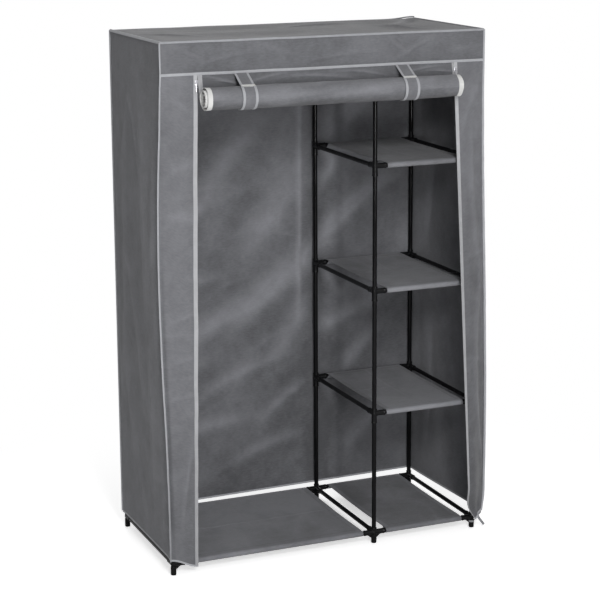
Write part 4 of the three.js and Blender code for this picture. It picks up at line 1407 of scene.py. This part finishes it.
class BuildDoor(bpy.types.Operator):
    """Builds the rolled door, the part of it above the roll, and the straps that hold the roll"""

    bl_idname = "wardrobe.door"
    bl_label = "Rolled door"

    def execute(self, context):
        look = look_of("door")
        self.roll(look)
        self.sheet(look)
        for side, x in STRAP_X.items():
            self.strap(side, x, look)
        return {"FINISHED"}

    def flatten(self, piece, anchor_y, keep):
        """Gives the piece its own copy of its mesh. anchor_y and keep are not used."""
        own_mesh(piece)

    def roll(self, look):
        """The spiral in cloth, and the light tape wound in at both of its ends. At the right end the tape is
        narrower at the back."""
        x0, x1, overhang = ROLL_LOW.x, ROLL_HIGH.x, 0.0004
        points = self.stagger(roll_surface(90, x0, x1, look.slack))
        piece = Surface().layer(points).build(
            "door_roll_cloth", finish_of("worn_cloth"), "door", ["door_roll"], "cloth", 60, tone=roll_tone
        )
        self.flatten(piece, SHEET_LOW.y, 0.06)
        x0, x1 = x0 - overhang, x1 + overhang
        wide = look.edge_width + overhang
        for side, ends in (("left", (x0, x0 + wide)), ("right", (x1 - wide, x1))):
            points = roll_surface(7, *ends, look.slack)
            if side == "right":
                facing = 0.4 + 0.6 * ease(0.45 - 0.8 * (points[..., 1] - ROLL_Y) / ROLL_R)
                points[..., 0] = x1 - (x1 - points[..., 0]) * facing
            tape = Surface().layer(self.stagger(points), 0.00072, 0.00072)
            light = finish_of("door_edge_tape")
            piece = tape.build(f"door_edge_{side}", light, "door", slot="binding", sharp=60)
            self.flatten(piece, SHEET_LOW.y, 0.06)

    def stagger(self, points):
        """Uneven ends: groups of turns stand out or lie deeper, by a table from the outside in."""
        turn = np.linspace(0, 1, len(points))[:, None]
        deep = np.interp(turn, *zip(*ROLL_END))
        middle = (ROLL_LOW.x + ROLL_HIGH.x) / 2
        near_end = ease((np.abs(points[..., 0] - middle) / (ROLL_HIGH.x - middle) - 0.9) * 10)
        points[..., 0] -= np.sign(points[..., 0] - middle) * deep * near_end
        return points

    def sheet(self, look):
        """The cloth above the roll, and the tapes along its sides."""
        points = door_sheet_surface(*share_grid(60, 90))
        # The sheet is drawn darker as a painted shadow under the valance, with painted highlights on its
        # folds
        piece = Surface().layer(points).build(
            "door_sheet_cloth", finish_of("cover_cloth"), None, ["door_sheet"], "cloth", 60,
            tone=lambda x, y, z: folds(x, z, "door_sheet") / 0.004 - 0.9,
        )
        width = SHEET_HIGH.x - SHEET_LOW.x
        self.stretch(piece)
        share = look.edge_width * 0.8 / width
        for side, span in (("left", (-0.0006, share)), ("right", (1 - share * 0.45, 1.0006))):
            u, v = share_grid(60, 8)
            tape = Surface().layer(door_sheet_surface(mix(*span, u), v), 0.0009, 0.0009)
            name = f"door_sheet_tape_{side}"
            self.stretch(tape.build(name, finish_of("zip_tape"), None, slot="binding", sharp=60))

    def stretch(self, piece):
        """Bakes the piece's place into its mesh."""
        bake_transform(piece)

    def strap(self, side, x, look):
        """A grey band with light edges, hanging from a short tab that ends in a light bar."""
        name, ride = f"roll_strap_{side}", "frame"
        route = strap_route(x)
        band = Surface().band(route, (1, 0, 0), STRAP_WIDTH, 0.0012, corners=10, square=6.0)
        edges = self.edges(route, STRAP_WIDTH + 0.0008, look.strap_edge, 0.0020, square=5.0)
        tab = tab_route(x)
        tab_width, tab_edge = STRAP_WIDTH * 0.94, 0.008
        tab_cloth = Surface().band(tab, (1, 0, 0), tab_width, 0.0012, corners=10, square=6.0)
        tab_edges = self.edges(tab, tab_width + 0.001, tab_edge, 0.0021, square=4.0)
        bar = Surface().band(tab[-6:], (1, 0, 0), STRAP_WIDTH * 0.96, 0.0030, corners=12, square=5.0)
        cloth, light = finish_of("cover_cloth"), finish_of("seam_binding")
        for piece in (
            band.build(f"{name}_cloth", cloth, ride, [name], "cloth"),
            edges.build(f"{name}_edges", light, ride, slot="binding"),
            tab_cloth.build(f"{name}_tab", cloth, ride, slot="cloth"),
            tab_edges.build(f"{name}_tab_edges", light, ride, slot="binding"),
            bar.build(f"{name}_bar", finish_of("door_edge_tape"), ride, slot="binding"),
        ):
            self.flatten(piece, FRONT + 0.001, 0.05)

    def edges(self, route, over_all, width, thickness, square):
        """Two bands along a route, whose outer sides lie over_all apart."""
        surface = Surface()
        for way in (-1, 1):
            shift = np.array([way * (over_all - width) / 2, 0, 0])
            surface.band(route + shift, (1, 0, 0), width, thickness, corners=10, square=square)
        return surface


# Zip sliders and the corner tie
PIN_IN = 0.0022  # how far the pin's middle lies inside the front and the top of a pull


class BuildHardware(bpy.types.Operator):
    """Builds the two zip sliders with their pulls, and the ribbon that ties the cover to a front foot"""

    bl_idname = "wardrobe.hardware"
    bl_label = "Sliders and tie"

    def execute(self, context):
        for side, way in (("left", 1), ("right", -1)):
            self.slider(side, way)
            self.pull(side)
        self.tie()
        return {"FINISHED"}

    def slider(self, side, way):
        """Two rounded plates on a neck, two ears in front, and the pin between the ears."""
        node = f"zip_slider_{side}"
        low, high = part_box(node)
        pull_low, pull_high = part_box(f"zip_pull_{side}")
        x, z = (pull_low.x + pull_high.x) / 2, (low.z + high.z) / 2
        pin_y, pin_r, pin_half = pull_low.y + PIN_IN, 0.0008, 0.0039
        plate_half = 0.0016
        plate_y = pin_y + 0.0022 + 0.0004 + plate_half
        back_half = 0.0005
        surface = Surface()
        surface.pad((x, plate_y, z), (0.005, plate_half, 0.010), square=5.0)
        surface.pad((x, high.y - back_half, z), (0.005, back_half, 0.010), square=5.0)
        neck_half = (high.y - plate_y) / 2 + 0.0015
        surface.pad((x + way * 0.0054, (plate_y + high.y) / 2, z), (0.0006, neck_half, 0.0095), square=6.0)
        for ear in (-1, 1):
            surface.pad((x + ear * 0.0034, pin_y + 0.0012, z), (0.0005, 0.0028, 0.0018), square=4.0)
        pin = [(0, 0), (0, pin_r), (2 * pin_half, pin_r), (2 * pin_half, 0)]
        surface.turned((x - pin_half, pin_y, z), (1, 0, 0), pin, sides=16)
        surface.build(f"{node}_metal", finish_of("zip_metal"), f"{side}_slider", [node], "metal")

    def pull(self, side):
        """A flat tongue with an eye round the pin."""
        node = f"zip_pull_{side}"
        low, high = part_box(node)
        x, y, z = (low.x + high.x) / 2, low.y + PIN_IN, high.z - PIN_IN
        half, hole_r, eye_r = 0.0024, 0.0013, 0.0021
        eye = [(-half, hole_r), (-half, eye_r), (half, eye_r), (half, hole_r), (-half, hole_r)]
        surface = Surface().turned((x, y, z), (1, 0, 0), eye, sides=20)
        path = stack(x, y, np.linspace(z - 0.0016, low.z, 20))
        surface.band(path, (1, 0, 0), 2 * half, 0.0013, corners=12, square=4.0)
        surface.build(f"{node}_metal", finish_of("zip_metal"), f"{side}_pull", [node], "metal")

    def tie(self):
        """A ribbon from the corner seam to a knot, on to the foot and round it, with a loose tail."""
        low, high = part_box("corner_tie")
        foot_x, foot_y = POST_X["right"], ROW_Y["front"]
        loop_r, loop_z, tilt = 0.0108, 0.0245, 0.001
        y = FRONT - 0.004
        seam_x, seam_z = float(right_seam_x(np.array(HEM_RIGHT_Z))) - 0.003, high.z
        knot = (mix(foot_x, seam_x, 0.5), y - 0.002, 0.048)
        from_seam = [(seam_x, y, seam_z), (seam_x - 0.001, y - 0.001, mix(seam_z, knot[2], 0.5)), knot]
        half_way = (mix(knot[0], foot_x, 0.6), y - 0.001, 0.034)
        to_foot = [knot, half_way, (foot_x + 0.004, foot_y - loop_r, 0.025)]
        tail = [knot, (knot[0] + 0.006, y - 0.004, 0.036), (high.x - 0.003, y - 0.006, low.z + 0.003)]
        surface = Surface()
        surface.band(rounded(from_seam, passes=4, steps=20), (1, 0, 0), 0.007, 0.0011)
        surface.band(rounded(to_foot, passes=6, steps=30), (0.7, 0, 0.7), 0.0065, 0.0011)
        surface.band(rounded(tail, passes=6, steps=30), (0.9, 0, 0.4), 0.009, 0.0012)
        surface.pad(knot, (0.0048, 0.0030, 0.0046), square=2.6)
        angle = np.linspace(0, 2 * np.pi, 40)
        x, y = foot_x + loop_r * np.cos(angle), foot_y + loop_r * np.sin(angle)
        surface.band(stack(x, y, loop_z + tilt * np.sin(angle + 1)), (0, 0, 1), 0.007, 0.0011)
        surface.build("corner_tie_ribbon", finish_of("tie_ribbon"), "frame", ["corner_tie"], "binding")


# Stage
WHITE = (1, 1, 1, 1)
LAMPS = {
    # name: (place, the point it shines at, its width and height, in metres)
    "key": ((-0.9, -4.3, 3.2), (0, 0, 0.8), (1.2, 1.2)),
    "strip": ((-0.8, -5.1, 0.95), (0, 0, 0.9), (0.4, 1.5)),
    "back": ((0.8, 5.2, 3.4), (0, 0, 0.8), (3.0, 3.0)),
    "top": ((0.2, -1.2, 4.2), (0, 0, 0.6), (1.6, 1.6)),
}


class BuildStage(bpy.types.Operator):
    """Sets up the camera, the floor and the studio light"""

    bl_idname = "wardrobe.stage"
    bl_label = "Stage"

    def execute(self, context):
        look = look_of("stage")
        context.scene.view_settings.view_transform = "Standard"
        self.camera(context.scene)
        self.floor(look)
        self.world(context.scene, look)
        for name, (place, aim, size) in LAMPS.items():
            self.lamp(f"{name}_light", Vector(place), Vector(aim), size, getattr(look, name))
        return {"FINISHED"}

    def camera(self, scene):
        """The photograph's camera, as solved from the frame's corners. Its place is told from the left front
        post."""
        image = 600
        focal_pixels = 1808.35
        axis_row = 250
        yaw, pitch, roll = 0.4005, 0.20567, 0.00542
        place = Vector((-1.77894, -5.27113, 2.23516)) + Vector((POST_X["left"], ROW_Y["front"], 0))
        ahead = Vector((math.sin(yaw) * math.cos(pitch), math.cos(yaw) * math.cos(pitch), -math.sin(pitch)))
        right = Vector((math.cos(yaw), -math.sin(yaw), 0))
        down = ahead.cross(right)
        turned = right * math.cos(roll) + down * math.sin(roll)
        down = down * math.cos(roll) - right * math.sin(roll)
        data = bpy.data.cameras.new("photo_camera")
        data.sensor_width = 36
        data.lens = focal_pixels / image * data.sensor_width
        data.shift_y = (axis_row - image / 2) / image
        camera = bpy.data.objects.new("photo_camera", data)
        facing = Matrix((turned, -down, -ahead)).transposed().to_4x4()
        camera.matrix_world = Matrix.Translation(place) @ facing
        scene.collection.objects.link(camera)
        scene.camera = camera

    def floor(self, look):
        """A pale floor with the object's shadow. The camera sees it brighter, and white from some way off."""
        size, depth = 60, -0.0002
        shade = new_shade("pale_floor")
        seen = shade.node("ShaderNodeLightPath", output="Is Camera Ray")
        place = shade.place()
        cloud = shade.noise(place, scale=3.0, detail=2.0)
        tone = shade.tone(cloud, scaled(look.floor, 0.99), tuple(look.floor))
        matt = shade.node("ShaderNodeBsdfDiffuse", {}, {"Color": tone})
        white = shade.node("ShaderNodeEmission", {}, {"Color": WHITE, "Strength": 1.0})
        lift = shade.node("ShaderNodeEmission", {}, {"Color": WHITE, "Strength": look.lift})
        near = shade.node("ShaderNodeAddShader", {}, {0: matt, 1: lift})
        distance = shade.node("ShaderNodeVectorMath", {"operation": "LENGTH"}, {0: place}, "Value")
        away = distance.between(0.7, 1.5)
        bright = shade.node("ShaderNodeMixShader", {}, {0: away, 1: near, 2: white})
        both = shade.node("ShaderNodeMixShader", {}, {0: seen, 1: matt, 2: bright})
        shade.node("ShaderNodeOutputMaterial", {}, {"Surface": both})
        x, y = (size * (share - 0.5) for share in share_grid(2, 2))
        Surface().grid(stack(x, y, depth)).build("floor", shade.owner, body=None)

    def world(self, scene, look):
        """Soft grey light all round, and white where the camera or a reflection sees past the floor."""
        scene.world = bpy.data.worlds.new("studio")
        shade = Shade(scene.world)
        glossy = shade.node("ShaderNodeLightPath", output="Is Glossy Ray")
        mirrored = glossy.maths("MAXIMUM", glossy.other("Is Transmission Ray"))
        seen = glossy.other("Is Camera Ray").maths("MAXIMUM", mirrored)
        grey = shade.node("ShaderNodeBackground", {}, {"Color": WHITE, "Strength": look.ambient})
        white = shade.node("ShaderNodeBackground", {}, {"Color": WHITE, "Strength": 1.0})
        both = shade.node("ShaderNodeMixShader", {}, {0: seen, 1: grey, 2: white})
        shade.node("ShaderNodeOutputWorld", {}, {"Surface": both})

    def lamp(self, name, place, aim, size, power):
        """An elliptical area light, turned to the point that it shines at."""
        data = bpy.data.lights.new(name, "AREA")
        data.shape = "ELLIPSE"
        data.size, data.size_y = size
        data.energy = power
        lamp = bpy.data.objects.new(name, data)
        lamp.location = place
        lamp.rotation_euler = (aim - place).to_track_quat("-Z", "Y").to_euler()
        bpy.context.scene.collection.objects.link(lamp)


OPERATORS = (
    BuildStage, BuildTubes, BuildConnectors, BuildCover, BuildTrims, BuildShelves, BuildDoor, BuildHardware
)
GROUPS = {
    "wardrobe_cover": WardrobeCoverSettings,
    "wardrobe_frame": WardrobeFrameSettings,
    "wardrobe_door": WardrobeDoorSettings,
    "wardrobe_stage": WardrobeStageSettings,
}


class WardrobePanel(bpy.types.Panel):
    """Lists the steps that build the wardrobe"""

    bl_idname = "VIEW3D_PT_wardrobe"
    bl_label = "Fabric Wardrobe"
    bl_space_type = "VIEW_3D"
    bl_region_type = "UI"
    bl_category = "Wardrobe"

    def draw(self, context):
        for operator in OPERATORS:
            self.layout.operator(operator.bl_idname)


KINDS = (*GROUPS.values(), *OPERATORS, WardrobePanel)


def register():
    """Registers the classes, and gives every scene the groups of settings."""
    for kind in KINDS:
        bpy.utils.register_class(kind)
    for name, group in GROUPS.items():
        setattr(bpy.types.Scene, name, bpy.props.PointerProperty(type=group))


def unregister():
    """Takes away what register brought."""
    for name in GROUPS:
        delattr(bpy.types.Scene, name)
    for kind in reversed(KINDS):
        bpy.utils.unregister_class(kind)


def main():
    """Builds the wardrobe."""
    register()
    for operator in OPERATORS:
        group, _, step = operator.bl_idname.partition(".")
        getattr(getattr(bpy.ops, group), step)()


if __name__ == "__main__":
    main()
